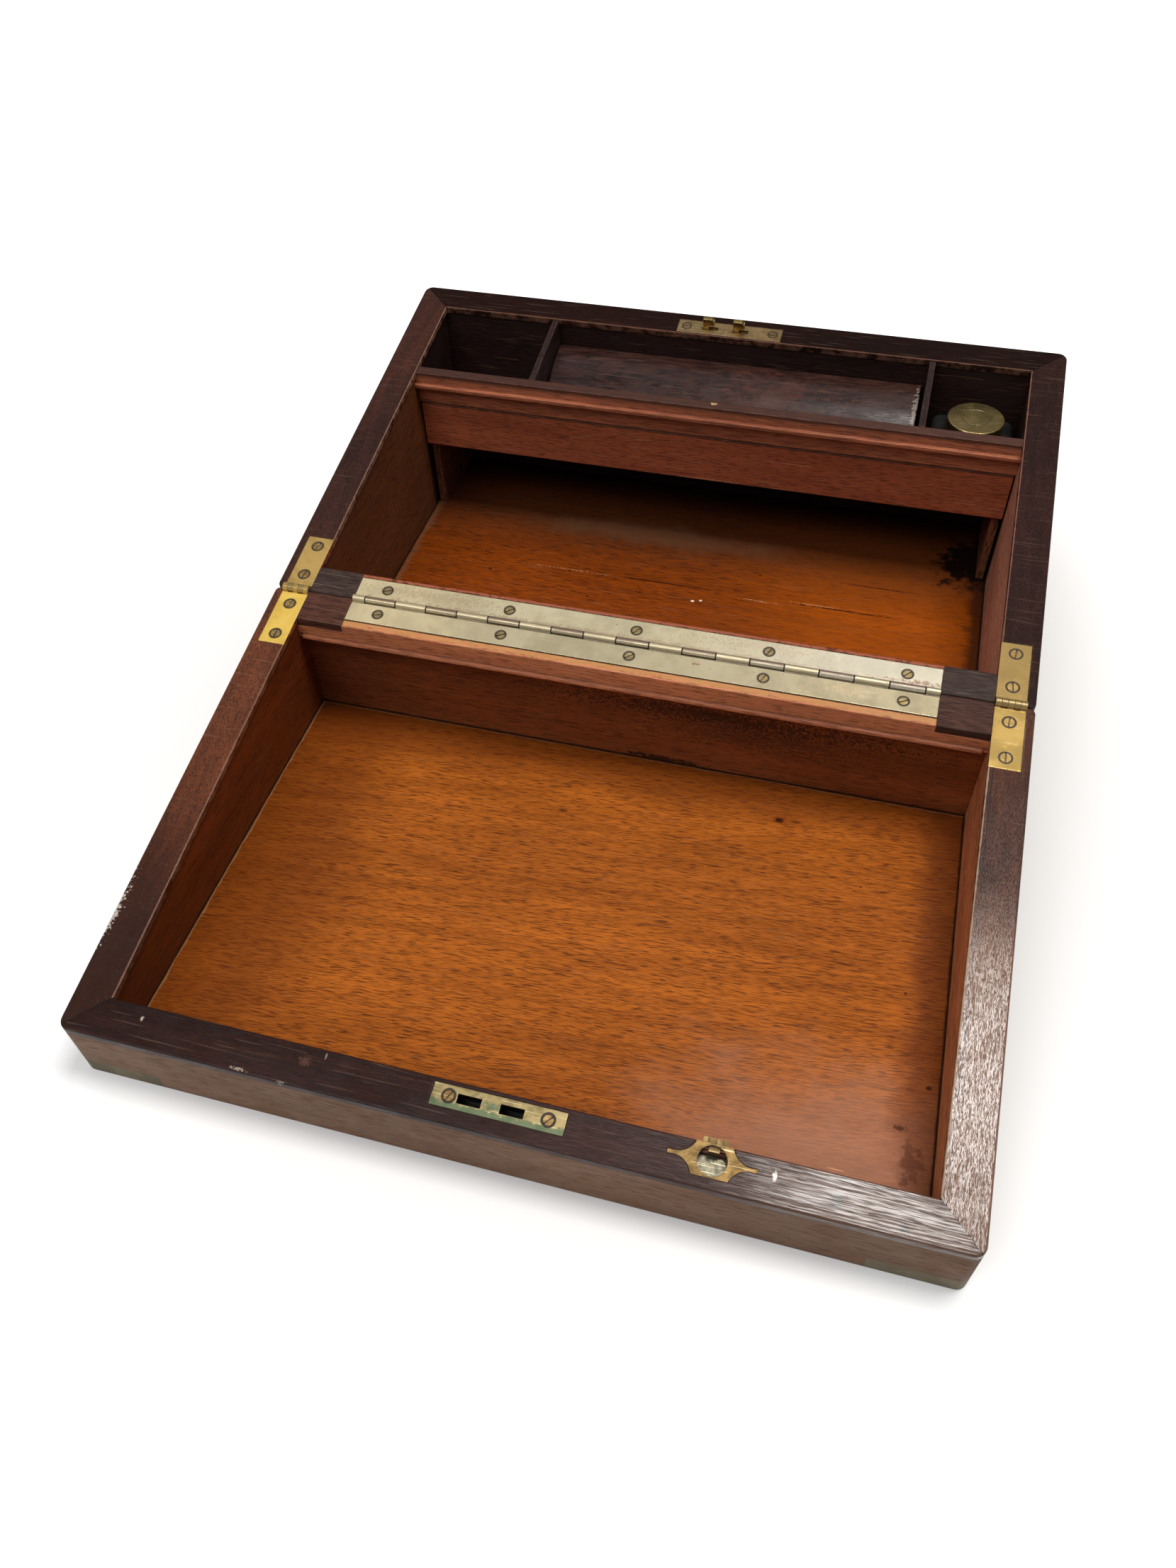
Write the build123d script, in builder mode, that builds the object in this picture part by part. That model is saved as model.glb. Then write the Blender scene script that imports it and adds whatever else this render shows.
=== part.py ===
"""Folding writing slope, lying open flat on a table.

Frame: X runs along the hinge, Y towards the pen bay, Z up. The origin is on the table, under the
middle of the hinge line. The base half lies at +Y, right way up; the lid half lies at -Y, on its top.
Both rims lie in one sloping plane through the hinge line, so the halves meet when the lid is shut.
"""
from build123d import *
from math import atan, cos, sin, tan
import os

os.makedirs("parts", exist_ok=True)

# ------------------------------------------------------------------ driving sizes, in millimetres
width = 350.0  # outside, along the hinge
half_depth = 222.0  # hinge line to the outside of the far wall, the same in both halves
hinge_height = 72.0  # table to the hinge line
rim_rise = 38.6  # climb of the rim from the hinge line to the back of the base

corner_radius = 4.5  # upright corners away from the hinge
hinge_corner_radius = 2.5  # upright corners beside the hinge
rim_edge_radius = 0.8
rim_lip_radius = 0.6  # eased inner edge of the rim
foot_edge_radius = 0.5

side_rim_width = 16.8
end_rim_width = 15.9
rim_thickness = 3.2
rim_overhang = 1.0  # the rim stands this much proud of the wall's inner face
veneer_thickness = 0.8
panel_thickness = 9.5  # base bottom, and lid top with its veneer

hinge_gap = 0.2  # each half stands off the hinge line by this
rim_gap = 0.15  # each rim lies below the meeting plane by this
fit_gap = 0.1  # loose fit of an inlaid piece in its recess

base_hinge_wall_thickness = 14.5  # from the hinge line
lid_hinge_wall_thickness = 11.7  # from the hinge line, below the rail
hinge_rail_width = 16.7  # from the hinge line
hinge_rail_height = 11.5
hinge_rail_ledge = 1.5
hinge_rail_ledge_thickness = 2.2
hinge_rail_ledge_setback = 2.6  # the ledge stops short of the side walls
hinge_rail_ledge_ease = 0.7
torn_strip_depth = 0.5  # bare strip beside the long hinge, lower than the rail
block_thickness = 4.0  # dark end blocks of the hinge walls

# pen bay, measured from the hinge line and from the table
bay_wall_back = 158.6
bay_rail_width = 5.2
bay_rail_drop = 0.9  # the rail's top lies this far below the rim
bay_ledge_drop = 7.0  # step for the writing flap, below the rim
bay_ledge_reach = 2.0
bay_ledge_thickness = 2.2
bay_rail_foot = 78.5
rail_ease = 0.4
bay_rail_web = 2.4
fascia_thickness = 3.0
fascia_foot = 52.5
fascia_end_gap = 0.9
bay_floor_top = 58.0
bay_floor_thickness = 3.0
divider_thickness = 3.0
divider_drop = 0.8
divider_left_x = -94.3
divider_right_x = 109.2
bearer_thickness = 4.0
bearer_setback = 1.5  # from the side wall
bearer_front = 160.0
bearer_back_gap = 0.2

cover_radius = 45.0
cover_crown = 93.5  # height of its top edge
cover_thickness = 3.6
cover_ease = 0.8
cover_gap_left = 1.3
cover_gap_right = 2.0
cover_lift_gap = 0.4  # behind it, so that it lifts out past the rim

# travelling inkwell
inkwell_x = 135.5
inkwell_y = 184.5
inkwell_width = 42.0
inkwell_depth = 40.0
inkwell_shoulder_height = 22.0
inkwell_height = 31.0  # glass, foot to lip
inkwell_corner = 5.0
inkwell_shoulder_radius = 3.5
inkwell_foot_radius = 1.0
rest_gap = 0.1  # under a loose piece that stands on another
inkwell_neck_radius = 12.0
inkwell_bore_radius = 9.5
inkwell_glass_floor = 4.0
collar_thickness = 1.0
collar_height = 6.0
cap_radius = 14.4
cap_height = 6.4
cap_top_thickness = 1.8
cap_ease = 0.6
cap_clearance = 0.3
cap_ring_radius = 7.0
cap_ring_width = 0.7
cap_ring_depth = 0.4

# hinges
strap_leaf_width = 13.0  # along the hinge line
strap_leaf_reach = 32.8  # from the hinge line, along the rim
strap_leaf_thickness = 1.5
strap_barrel_radius = 2.2
strap_pin_radius = 1.0
strap_knuckles = 5
strap_screw_places = (9.2, 27.2)
piano_length = 271.0
piano_leaf_reach = 12.8
piano_leaf_thickness = 1.2
piano_barrel_radius = 1.7
piano_pin_radius = 0.75
piano_knuckle_pitch = 15.2
piano_full_knuckles = 17
piano_screw_pitch = 60.4
piano_screw_place = 7.3
knuckle_gap = 0.1
pin_clearance = 0.05
swing_gap = 0.3  # free space round a turning barrel
leaf_sink = 0.1  # metal lies this far below the wood round it

# wood screws
strap_screw = {"head": 2.7, "shank": 1.2, "length": 12.0}
piano_screw = {"head": 2.4, "shank": 1.1, "length": 10.0}
plate_screw = {"head": 2.3, "shank": 1.0, "length": 9.0}
screw_sink = 0.12
screw_clearance = 0.12
slot_width = 0.6
slot_depth = 0.5

# lock and strike
latch_y = 212.1  # hooks and strike slots, from the hinge line
lock_x = 1.25
lock_plate_length = 56.0
lock_plate_width = 9.7
latch_plate_thickness = 1.4
lock_screw_reach = 23.3
lock_case_length = 42.0
lock_case_depth = 25.0
lock_case_wall = 1.0
lock_case_room = 3.4
hook_pitch = 16.3
hook_left_x = -12.9
hook_length = 6.0
hook_stem = 3.2
hook_height = 6.0
hook_thickness = 2.2
hook_nose_radius = 2.4
hook_throat = 1.9  # nose underside above the meeting plane
bolt_throw = 4.6
bolt_left_x = -16.0
bolt_right_x = 13.0
bolt_top = 3.0  # below the meeting plane
bolt_foot = 9.0
lock_slot_margin = 0.3
key_depth = 17.0
key_radius = 1.8
key_slot_width = 1.5
key_slot_length = 5.0
tumbler_thickness = 1.6
tumbler_length = 24.0
tumbler_depth = 3.5
tumbler_x = -15.0
tumbler_place = 13.5  # below the meeting plane
tumbler_pivot_radius = 1.2
escutcheon_width = 9.0
escutcheon_height = 15.0
escutcheon_corner = 2.5
strike_x = 1.9
strike_length = 51.0
strike_width = 8.4
strike_screw_reach = 19.0
strike_slot_width = 3.6
strike_slots = ((-13.8, -4.6), (2.6, 11.7))
strike_pocket_depth = 8.5
strike_pocket_reach = 15.4

# flap catch
catch_x = 80.7
catch_plate_thickness = 1.2
catch_body_half = 6.6
catch_body_reach = 6.0
catch_tail_reach = 16.2
catch_tail_half = 0.8
catch_cup_radius = 5.4
catch_cup_wall = 0.6
catch_cup_depth = 5.0
catch_nose_width = 9.4
catch_cup_chord = 2.9  # flat side of the cup, towards the bolt's nose
catch_nose_reach = 8.3  # from the cup's centre
catch_nose_length = 3.6
catch_thumb_width = 4.0
catch_thumb_place = 2.95
catch_thumb_thickness = 1.0
catch_thumb_drop = 0.3
catch_bolt_thickness = 1.8
catch_clearance = 0.12
catch_ridge_places = (-2.6, 0.0, 2.6)
catch_ridge_width = 0.7
catch_ridge_depth = 0.4

# brass corners of the lid
corner_brass_length = 36.0
corner_brass_band = 8.5
corner_brass_thickness = 1.0

# ------------------------------------------------------------------ values that follow
slope = atan(rim_rise / half_depth)
tallest = hinge_height + rim_rise + 20.0
side_in = width / 2 - side_rim_width
side_wall_in = side_in + rim_overhang
far_in = half_depth - end_rim_width
far_wall_in = far_in + rim_overhang
carcass_half = width / 2 - veneer_thickness
carcass_near = hinge_gap + veneer_thickness
carcass_far = half_depth - veneer_thickness
piano_half = piano_length / 2
rail_foot = hinge_height - hinge_rail_width * tan(slope) - rim_gap - hinge_rail_height

rim_plane = Plane(origin=(0, 0, hinge_height), x_dir=(1, 0, 0), z_dir=(0, -sin(slope), cos(slope)))


def rim_z(y):
    """Height of the meeting plane of the rims at a distance y from the hinge line."""
    return hinge_height + y * tan(slope)


def up_slope(y):
    """Distance along the rim that lies y away from the hinge line in plan."""
    return y / cos(slope)


def under_rim(depth):
    """Plane parallel to the rims, a depth below their surface."""
    return rim_plane.offset(-rim_gap - depth)


def rectangle_between(x_limits, y_limits, mode=Mode.ADD):
    """Draw a rectangle between two x limits and two y limits in the sketch in hand."""
    with Locations((sum(x_limits) / 2, sum(y_limits) / 2)):
        Rectangle(abs(x_limits[1] - x_limits[0]), abs(y_limits[1] - y_limits[0]), mode=mode)


def save(piece, node):
    """Label a finished piece and write it to its own file."""
    piece.part.label = node
    export_step(piece.part, f"parts/{node}.step")


# ------------------------------------------------------------------ forms that trim the pieces
def upright_form(side, inset, foot):
    """Upright prism of one half's plan, set in all round; side is 1 for the base, -1 for the lid."""
    near, far = side * (hinge_gap + inset), side * (half_depth - inset)
    with BuildPart() as form:
        with BuildSketch(Plane.XY.offset(foot)) as plan:
            rectangle_between((-width / 2 + inset, width / 2 - inset), (near, far))
            fillet(plan.vertices().group_by(Axis.Y)[::side][-1], corner_radius - inset)
            fillet(plan.vertices().group_by(Axis.Y)[::side][0], hinge_corner_radius - inset)
        extrude(amount=tallest)
    return form.part


def outer_form(side):
    """Outside of one half, cut off at its rim, with its edges eased."""
    with BuildPart() as form:
        add(upright_form(side, 0, 0))
        split(bisect_by=under_rim(0), keep=Keep.BOTTOM)
        fillet(form.faces().sort_by(Axis.Z)[-1].edges(), rim_edge_radius)
        fillet(form.faces().sort_by(Axis.Z)[0].edges(), foot_edge_radius)
    return form.part


base_form = outer_form(1)
lid_form = outer_form(-1)
base_core = upright_form(1, veneer_thickness, 0)
lid_core = upright_form(-1, veneer_thickness, veneer_thickness)
brass_core = upright_form(-1, corner_brass_thickness, corner_brass_thickness)


def facing_room():
    """Space that the rim facings take up outside the two openings, with a little to spare."""
    with BuildPart() as room:
        with BuildSketch():
            Rectangle(2 * width, 4 * half_depth)
            Rectangle(2 * (side_in - fit_gap), 2 * (far_in - fit_gap), mode=Mode.SUBTRACT)
        extrude(amount=tallest)
        split(bisect_by=under_rim(rim_thickness), keep=Keep.TOP)
    return room.part


facings = facing_room()


def hinge_relief(x_limits, barrel_radius, leaf_reach, leaf_thickness):
    """Room for one hinge in both halves: the two leaf recesses and the groove round the barrel."""
    grown = (x_limits[0] - fit_gap, x_limits[1] + fit_gap)
    with BuildPart() as relief:
        with BuildSketch(under_rim(leaf_thickness)):
            rectangle_between(grown, (-leaf_reach - fit_gap, leaf_reach + fit_gap))
        extrude(amount=leaf_thickness + barrel_radius)
        with BuildSketch(Plane.YZ.offset(grown[0])):
            with Locations((0, hinge_height)):
                Circle(barrel_radius + swing_gap)
        extrude(amount=grown[1] - grown[0])
    return relief.part


def strap_limits(side):
    """The x limits of the strap hinge on one side; its leaves lie flush with the rim's inner edge."""
    return tuple(sorted((side * side_in, side * (side_in + strap_leaf_width))))


strap_reliefs = {
    side: hinge_relief(strap_limits(side), strap_barrel_radius, strap_leaf_reach, strap_leaf_thickness)
    for side in (-1, 1)
}
piano_relief = hinge_relief(
    (-piano_half, piano_half), piano_barrel_radius, piano_leaf_reach, piano_leaf_thickness
)


# ------------------------------------------------------------------ screws
def screw_form(places, screw, grown=0.0):
    """Countersunk screws at places on the rim, with or without their clearance."""
    head, shank = screw["head"] + grown, screw["shank"] + grown
    top = -screw_sink if grown == 0 else 0.0
    with BuildPart(under_rim(0)) as group:
        with Locations(*[(x, v, top) for x, v in places]):
            Cone(shank, head, head - shank, align=(Align.CENTER, Align.CENTER, Align.MAX))
            Cylinder(shank, screw["length"] + grown, align=(Align.CENTER, Align.CENTER, Align.MAX))
    return group.part


def make_screws(node, places, screw, slot_angles):
    """Slotted countersunk screws as one group, each slot at its own angle."""
    with BuildPart() as screws:
        add(screw_form(places, screw))
        for (x, v), angle in zip(places, slot_angles):
            with Locations(under_rim(0).location * Location((x, v, -screw_sink), (0, 0, angle))):
                Box(
                    2.2 * screw["head"], slot_width, slot_depth,
                    align=(Align.CENTER, Align.CENTER, Align.MAX), mode=Mode.SUBTRACT,
                )
    save(screws, node)


strap_x = side_in + strap_leaf_width / 2
strap_places = {
    half: [(side * strap_x, half * place) for side in (-1, 1) for place in strap_screw_places]
    for half in (1, -1)
}
piano_places = {
    half: [(step * piano_screw_pitch, half * piano_screw_place) for step in range(-2, 3)]
    for half in (1, -1)
}
latch_v = up_slope(latch_y)
lock_places = [(lock_x + reach, latch_v) for reach in (-lock_screw_reach, lock_screw_reach)]
strike_places = [(strike_x + reach, -latch_v) for reach in (-strike_screw_reach, strike_screw_reach)]
holes = {
    "base": [
        screw_form(strap_places[1], strap_screw, screw_clearance),
        screw_form(piano_places[1], piano_screw, screw_clearance),
        screw_form(lock_places, plate_screw, screw_clearance),
    ],
    "lid": [
        screw_form(strap_places[-1], strap_screw, screw_clearance),
        screw_form(piano_places[-1], piano_screw, screw_clearance),
        screw_form(strike_places, plate_screw, screw_clearance),
    ],
}

make_screws("base_strap_hinge_screws", strap_places[1], strap_screw, (82, 70, 96, 84))
make_screws("lid_strap_hinge_screws", strap_places[-1], strap_screw, (78, 88, 86, 92))
make_screws("base_piano_hinge_screws", piano_places[1], piano_screw, (20, 35, 52, 60, 44))
make_screws("lid_piano_hinge_screws", piano_places[-1], piano_screw, (12, 28, 40, 66, 30))
make_screws("lock_plate_screws", lock_places, plate_screw, (8, -6))
make_screws("strike_plate_screws", strike_places, plate_screw, (65, 48))


# ------------------------------------------------------------------ brass corners, let in flush
def corner_brass(side, near_hinge):
    """One brass corner of the lid: a thin cap round the foot of an upright corner."""
    x_limits = sorted((side * width / 2, side * (width / 2 - corner_brass_length)))
    x_band = sorted((side * width / 2, side * (width / 2 - corner_brass_band)))
    edge = -hinge_gap if near_hinge else -half_depth
    inward = -1 if near_hinge else 1
    with BuildPart() as brass:
        with BuildSketch():
            rectangle_between(x_limits, sorted((edge, edge + inward * corner_brass_band)))
            rectangle_between(x_band, sorted((edge, edge + inward * corner_brass_length)))
        extrude(amount=corner_brass_band)
        add(lid_form, mode=Mode.INTERSECT)
        add(brass_core, mode=Mode.SUBTRACT)
    return brass.part


with BuildPart() as lid_corner_brasses:
    for corner_side in (-1, 1):
        for beside_hinge in (False, True):
            add(corner_brass(corner_side, beside_hinge))
save(lid_corner_brasses, "lid_corner_brasses")


# ------------------------------------------------------------------ lock hardware places
def lock_pocket():
    """Mortise for the lock plate and its case in the back of the base."""
    with BuildPart() as pocket:
        with BuildSketch(under_rim(latch_plate_thickness)):
            with Locations((lock_x, latch_v)):
                Rectangle(lock_plate_length + 2 * fit_gap, lock_plate_width + 2 * fit_gap)
        extrude(amount=latch_plate_thickness + 1)
        with BuildSketch(under_rim(latch_plate_thickness)):
            with Locations((lock_x, latch_v)):
                Rectangle(
                    lock_case_length + 2 * fit_gap,
                    lock_case_room + 2 * lock_case_wall + 2 * fit_gap,
                )
        extrude(amount=-lock_case_depth - fit_gap)
    return pocket.part


def keyhole():
    """Keyhole from the outside of the back into the lock case."""
    centre_y = latch_y + key_depth * sin(slope)
    centre_z = rim_z(latch_y) - key_depth * cos(slope)
    outside = Plane(origin=(lock_x, half_depth + 1, centre_z), x_dir=(-1, 0, 0), z_dir=(0, 1, 0))
    with BuildPart() as hole:
        with BuildSketch(outside):
            Circle(key_radius)
            with Locations((0, -key_slot_length / 2)):
                Rectangle(key_slot_width, key_slot_length)
        extrude(amount=-(half_depth + 1 - centre_y - lock_case_room / 4))
    return hole.part


def strike_pocket():
    """Recess for the strike plate and the room for the hooks behind it."""
    with BuildPart() as pocket:
        with BuildSketch(under_rim(latch_plate_thickness)):
            with Locations((strike_x, -latch_v)):
                Rectangle(strike_length + 2 * fit_gap, strike_width + 2 * fit_gap)
        extrude(amount=latch_plate_thickness + 1)
        with BuildSketch(under_rim(latch_plate_thickness)):
            with Locations((0, -latch_v)):
                Rectangle(2 * strike_pocket_reach, strike_slot_width + 1)
        extrude(amount=-(strike_pocket_depth - latch_plate_thickness))
    return pocket.part


def catch_outline(grown=0.0):
    """Outline of the catch plate: a square body drawn out into a thin tail at each end."""
    body_x, body_y = catch_body_half + grown, catch_body_reach + grown
    tail_x, tail_y = catch_tail_reach + grown, catch_tail_half + grown
    with BuildSketch() as outline:
        with BuildLine():
            for sx in (-1, 1):
                for sy in (-1, 1):
                    ThreePointArc(
                        (sx * body_x, sy * body_y),
                        (sx * (body_x + 2.4), sy * (tail_y + 1.6)),
                        (sx * (tail_x - tail_y), sy * tail_y),
                    )
                ThreePointArc(
                    (sx * (tail_x - tail_y), tail_y),
                    (sx * tail_x, 0),
                    (sx * (tail_x - tail_y), -tail_y),
                )
            for sy in (-1, 1):
                Line((-body_x, sy * body_y), (body_x, sy * body_y))
        make_face()
    return outline.sketch


catch_plane = Plane(
    origin=under_rim(0).from_local_coords(Vector(catch_x, -latch_v, 0)),
    x_dir=(1, 0, 0),
    z_dir=rim_plane.z_dir,
)
catch_seat = catch_plane.offset(-catch_plate_thickness)
bolt_room = catch_bolt_thickness + 2 * catch_clearance


def bolt_channel():
    """Room for the catch bolt under its plate, from the cup to the rim's inner edge."""
    half = catch_nose_width / 2 + catch_clearance
    with BuildPart() as channel:
        with BuildSketch(catch_seat):
            rectangle_between((-half, half), (0, catch_nose_reach + 1))
        extrude(amount=-bolt_room)
    return channel.part


def catch_pocket():
    """Recess for the catch plate and its cup, with the bolt's channel."""
    cup_reach = catch_cup_radius + catch_cup_wall + fit_gap
    with BuildPart() as pocket:
        with BuildSketch(catch_seat):
            add(catch_outline(fit_gap))
        extrude(amount=catch_plate_thickness + 1)
        with BuildSketch(catch_seat):
            Circle(cup_reach)
            rectangle_between(
                (-cup_reach, cup_reach), (catch_cup_chord + fit_gap, cup_reach), mode=Mode.SUBTRACT
            )
        extrude(amount=-catch_cup_depth - fit_gap)
        add(bolt_channel())
    return pocket.part


lock_room = lock_pocket()
key_room = keyhole()
strike_room = strike_pocket()
catch_room = catch_pocket()


# ------------------------------------------------------------------ carcass boards
def upright_board(x_limits, y_limits, foot, top_plane, form, cuts=()):
    """Board standing on its edge, trimmed to a half's outside and to a plane along its top."""
    with BuildPart() as board:
        with BuildSketch(Plane.XY.offset(foot)):
            rectangle_between(x_limits, y_limits)
        extrude(amount=tallest - foot)
        split(bisect_by=top_plane, keep=Keep.BOTTOM)
        add(form, mode=Mode.INTERSECT)
        for cut in cuts:
            add(cut, mode=Mode.SUBTRACT)
    return board


def flat_board(x_limits, y_limits, z_limits):
    """Board lying flat."""
    with BuildPart() as board:
        with BuildSketch(Plane.XY.offset(z_limits[0])):
            rectangle_between(x_limits, y_limits)
        extrude(amount=z_limits[1] - z_limits[0])
    return board


under_facing = under_rim(rim_thickness)
brasses = lid_corner_brasses.part
inner_x = (-side_wall_in, side_wall_in)

save(
    flat_board(inner_x, (base_hinge_wall_thickness, far_wall_in), (0, panel_thickness)),
    "base_bottom_board",
)
save(
    flat_board(
        inner_x, (-far_wall_in, -lid_hinge_wall_thickness), (veneer_thickness, panel_thickness)
    ),
    "lid_top_board",
)

for x_side, side_name in ((-1, "left"), (1, "right")):
    wall_x = (x_side * side_wall_in, x_side * carcass_half)
    base_cuts = (strap_reliefs[x_side], holes["base"][0])
    lid_cuts = (strap_reliefs[x_side], holes["lid"][0], brasses)
    save(
        upright_board(wall_x, (carcass_near, carcass_far), 0, under_facing, base_core, base_cuts),
        f"base_wall_{side_name}",
    )
    save(
        upright_board(
            wall_x, (-carcass_far, -carcass_near), veneer_thickness, under_facing, lid_core, lid_cuts
        ),
        f"lid_wall_{side_name}",
    )

save(
    upright_board(
        inner_x, (far_wall_in, carcass_far), 0, under_facing, base_core,
        (lock_room, key_room, holes["base"][2]),
    ),
    "base_wall_back",
)
save(
    upright_board(
        inner_x, (-carcass_far, -far_wall_in), veneer_thickness, under_facing, lid_core,
        (brasses, strike_room, catch_room, holes["lid"][2]),
    ),
    "lid_wall_front",
)


def block_seats(side):
    """Seats of the dark end blocks in the top of a hinge wall."""
    with BuildPart() as seats:
        with BuildSketch(under_rim(block_thickness)):
            for x_side in (-1, 1):
                rectangle_between(
                    (x_side * (piano_half + fit_gap), x_side * (side_wall_in + 0.5)),
                    (-side * block_thickness, side * 2 * hinge_rail_width),
                )
        extrude(amount=2 * block_thickness)
    return seats.part


def hinge_block(side, x_side, reach):
    """One dark end block, between the long hinge and the side rim."""
    form = base_form if side == 1 else lid_form
    with BuildPart() as block:
        with BuildSketch():
            rectangle_between(
                (x_side * (piano_half + fit_gap), x_side * (side_in - fit_gap)), (0, side * reach)
            )
        extrude(amount=tallest)
        split(bisect_by=under_rim(block_thickness), keep=Keep.TOP)
        add(form, mode=Mode.INTERSECT)
    return block


base_seats = block_seats(1)
lid_seats = block_seats(-1)
save(
    upright_board(
        inner_x, (carcass_near, base_hinge_wall_thickness), 0, under_rim(0), base_core,
        (base_seats, piano_relief, holes["base"][1]),
    ),
    "base_hinge_wall",
)
save(
    upright_board(
        inner_x, (-lid_hinge_wall_thickness, -carcass_near), veneer_thickness,
        Plane.XY.offset(rail_foot), lid_core, (brasses,),
    ),
    "lid_hinge_wall",
)
for x_side, side_name in ((-1, "left"), (1, "right")):
    save(hinge_block(1, x_side, base_hinge_wall_thickness), f"base_hinge_block_{side_name}")
    save(hinge_block(-1, x_side, hinge_rail_width), f"lid_hinge_block_{side_name}")

ledge_half = side_wall_in - hinge_rail_ledge_setback
with BuildPart() as lid_hinge_rail:
    with BuildSketch(Plane.XY.offset(rail_foot)):
        rectangle_between(inner_x, (-hinge_rail_width, -carcass_near))
    extrude(amount=tallest - rail_foot)
    split(bisect_by=under_rim(0), keep=Keep.BOTTOM)
    with BuildSketch(Plane.XY.offset(rail_foot)):
        rectangle_between(
            (-ledge_half, ledge_half), (-hinge_rail_width - hinge_rail_ledge, -hinge_rail_width)
        )
    extrude(amount=hinge_rail_ledge_thickness)
    fillet(lid_hinge_rail.edges().filter_by(Axis.X).group_by(Axis.Y)[0], hinge_rail_ledge_ease)
    add(lid_seats, mode=Mode.SUBTRACT)
    add(piano_relief, mode=Mode.SUBTRACT)
    add(holes["lid"][1], mode=Mode.SUBTRACT)
    with BuildSketch(under_rim(torn_strip_depth)):
        rectangle_between(
            (-piano_half - fit_gap, piano_half + fit_gap), (-2 * hinge_rail_width, -piano_leaf_reach)
        )
    extrude(amount=2, mode=Mode.SUBTRACT)
save(lid_hinge_rail, "lid_hinge_rail")


# ------------------------------------------------------------------ keyhole escutcheon
key_z = rim_z(latch_y) - key_depth * cos(slope)
key_plane = Plane(origin=(lock_x, half_depth, key_z), x_dir=(-1, 0, 0), z_dir=(0, 1, 0))


def escutcheon_form(grown=0.0):
    """Rounded plate let into the veneer round the keyhole."""
    with BuildPart() as plate:
        with BuildSketch(key_plane):
            with Locations((0, -key_slot_length / 2)):
                RectangleRounded(
                    escutcheon_width + 2 * grown, escutcheon_height + 2 * grown, escutcheon_corner
                )
        extrude(amount=-veneer_thickness)
    return plate.part


with BuildPart() as keyhole_escutcheon:
    add(escutcheon_form())
    add(key_room, mode=Mode.SUBTRACT)
save(keyhole_escutcheon, "keyhole_escutcheon")


# ------------------------------------------------------------------ outer veneer
def outer_veneer(form, core, cuts):
    """Thin veneer round the outside of one half, from just above the table to the rim facing."""
    with BuildPart() as sheet:
        add(form)
        with BuildSketch(Plane.XY.offset(veneer_thickness)):
            Rectangle(2 * width, 4 * half_depth)
        extrude(amount=tallest, mode=Mode.INTERSECT)
        split(bisect_by=under_facing, keep=Keep.BOTTOM)
        add(core, mode=Mode.SUBTRACT)
        for cut in cuts:
            add(cut, mode=Mode.SUBTRACT)
    return sheet


save(
    outer_veneer(
        base_form, base_core,
        (base_seats, piano_relief, *strap_reliefs.values(), escutcheon_form(fit_gap / 2)),
    ),
    "base_outer_veneer",
)
save(
    outer_veneer(
        lid_form, lid_core, (lid_seats, piano_relief, *strap_reliefs.values(), brasses)
    ),
    "lid_outer_veneer",
)
with BuildPart() as lid_top_veneer:
    add(lid_form)
    with BuildSketch():
        Rectangle(2 * width, 4 * half_depth)
    extrude(amount=veneer_thickness, mode=Mode.INTERSECT)
    add(brasses, mode=Mode.SUBTRACT)
save(lid_top_veneer, "lid_top_veneer")


# ------------------------------------------------------------------ rim facings
def rim_facing(side, form):
    """The facing of one half in one piece: three sides of a frame, its inner edge eased."""
    with BuildPart() as facing:
        add(form)
        split(bisect_by=under_facing, keep=Keep.TOP)
        with BuildSketch():
            rectangle_between((-side_in, side_in), (-side * 10, side * far_in))
        extrude(amount=tallest, mode=Mode.SUBTRACT)
        top_edges = facing.edges().filter_by(
            lambda edge: abs(rim_plane.to_local_coords(edge.center()).Z + rim_gap) < 0.01
        )
        inner_edges = top_edges.filter_by(
            lambda edge: abs(edge.center().X) < side_in + 0.01
            and abs(edge.center().Y) < far_in + 0.01
        )
        fillet(inner_edges, rim_lip_radius)
    return facing.part


def mitred_rim(facing, corners, cuts):
    """One side of the facing, cut out between its mitres."""
    with BuildPart() as rim:
        add(facing)
        with BuildSketch():
            Polygon(*corners, align=(Align.NONE, Align.NONE))
        extrude(amount=tallest, mode=Mode.INTERSECT)
        for cut in cuts:
            add(cut, mode=Mode.SUBTRACT)
    return rim


base_facing = rim_facing(1, base_form)
lid_facing = rim_facing(-1, lid_form)
for x_side, side_name in ((-1, "left"), (1, "right")):
    for side, half_name, facing in ((1, "base", base_facing), (-1, "lid", lid_facing)):
        side_corners = (
            (x_side * side_in, 0),
            (x_side * width / 2, 0),
            (x_side * width / 2, side * half_depth),
            (x_side * side_in, side * far_in),
        )
        save(
            mitred_rim(facing, side_corners, (strap_reliefs[x_side], holes[half_name][0])),
            f"{half_name}_rim_{side_name}",
        )


def far_corners(side):
    """Plan corners of the facing on the wall away from the hinge."""
    return (
        (-width / 2, side * half_depth),
        (width / 2, side * half_depth),
        (side_in, side * far_in),
        (-side_in, side * far_in),
    )


save(mitred_rim(base_facing, far_corners(1), (lock_room, holes["base"][2])), "base_rim_back")
save(
    mitred_rim(lid_facing, far_corners(-1), (strike_room, catch_room, holes["lid"][2])),
    "lid_rim_front",
)


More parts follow.
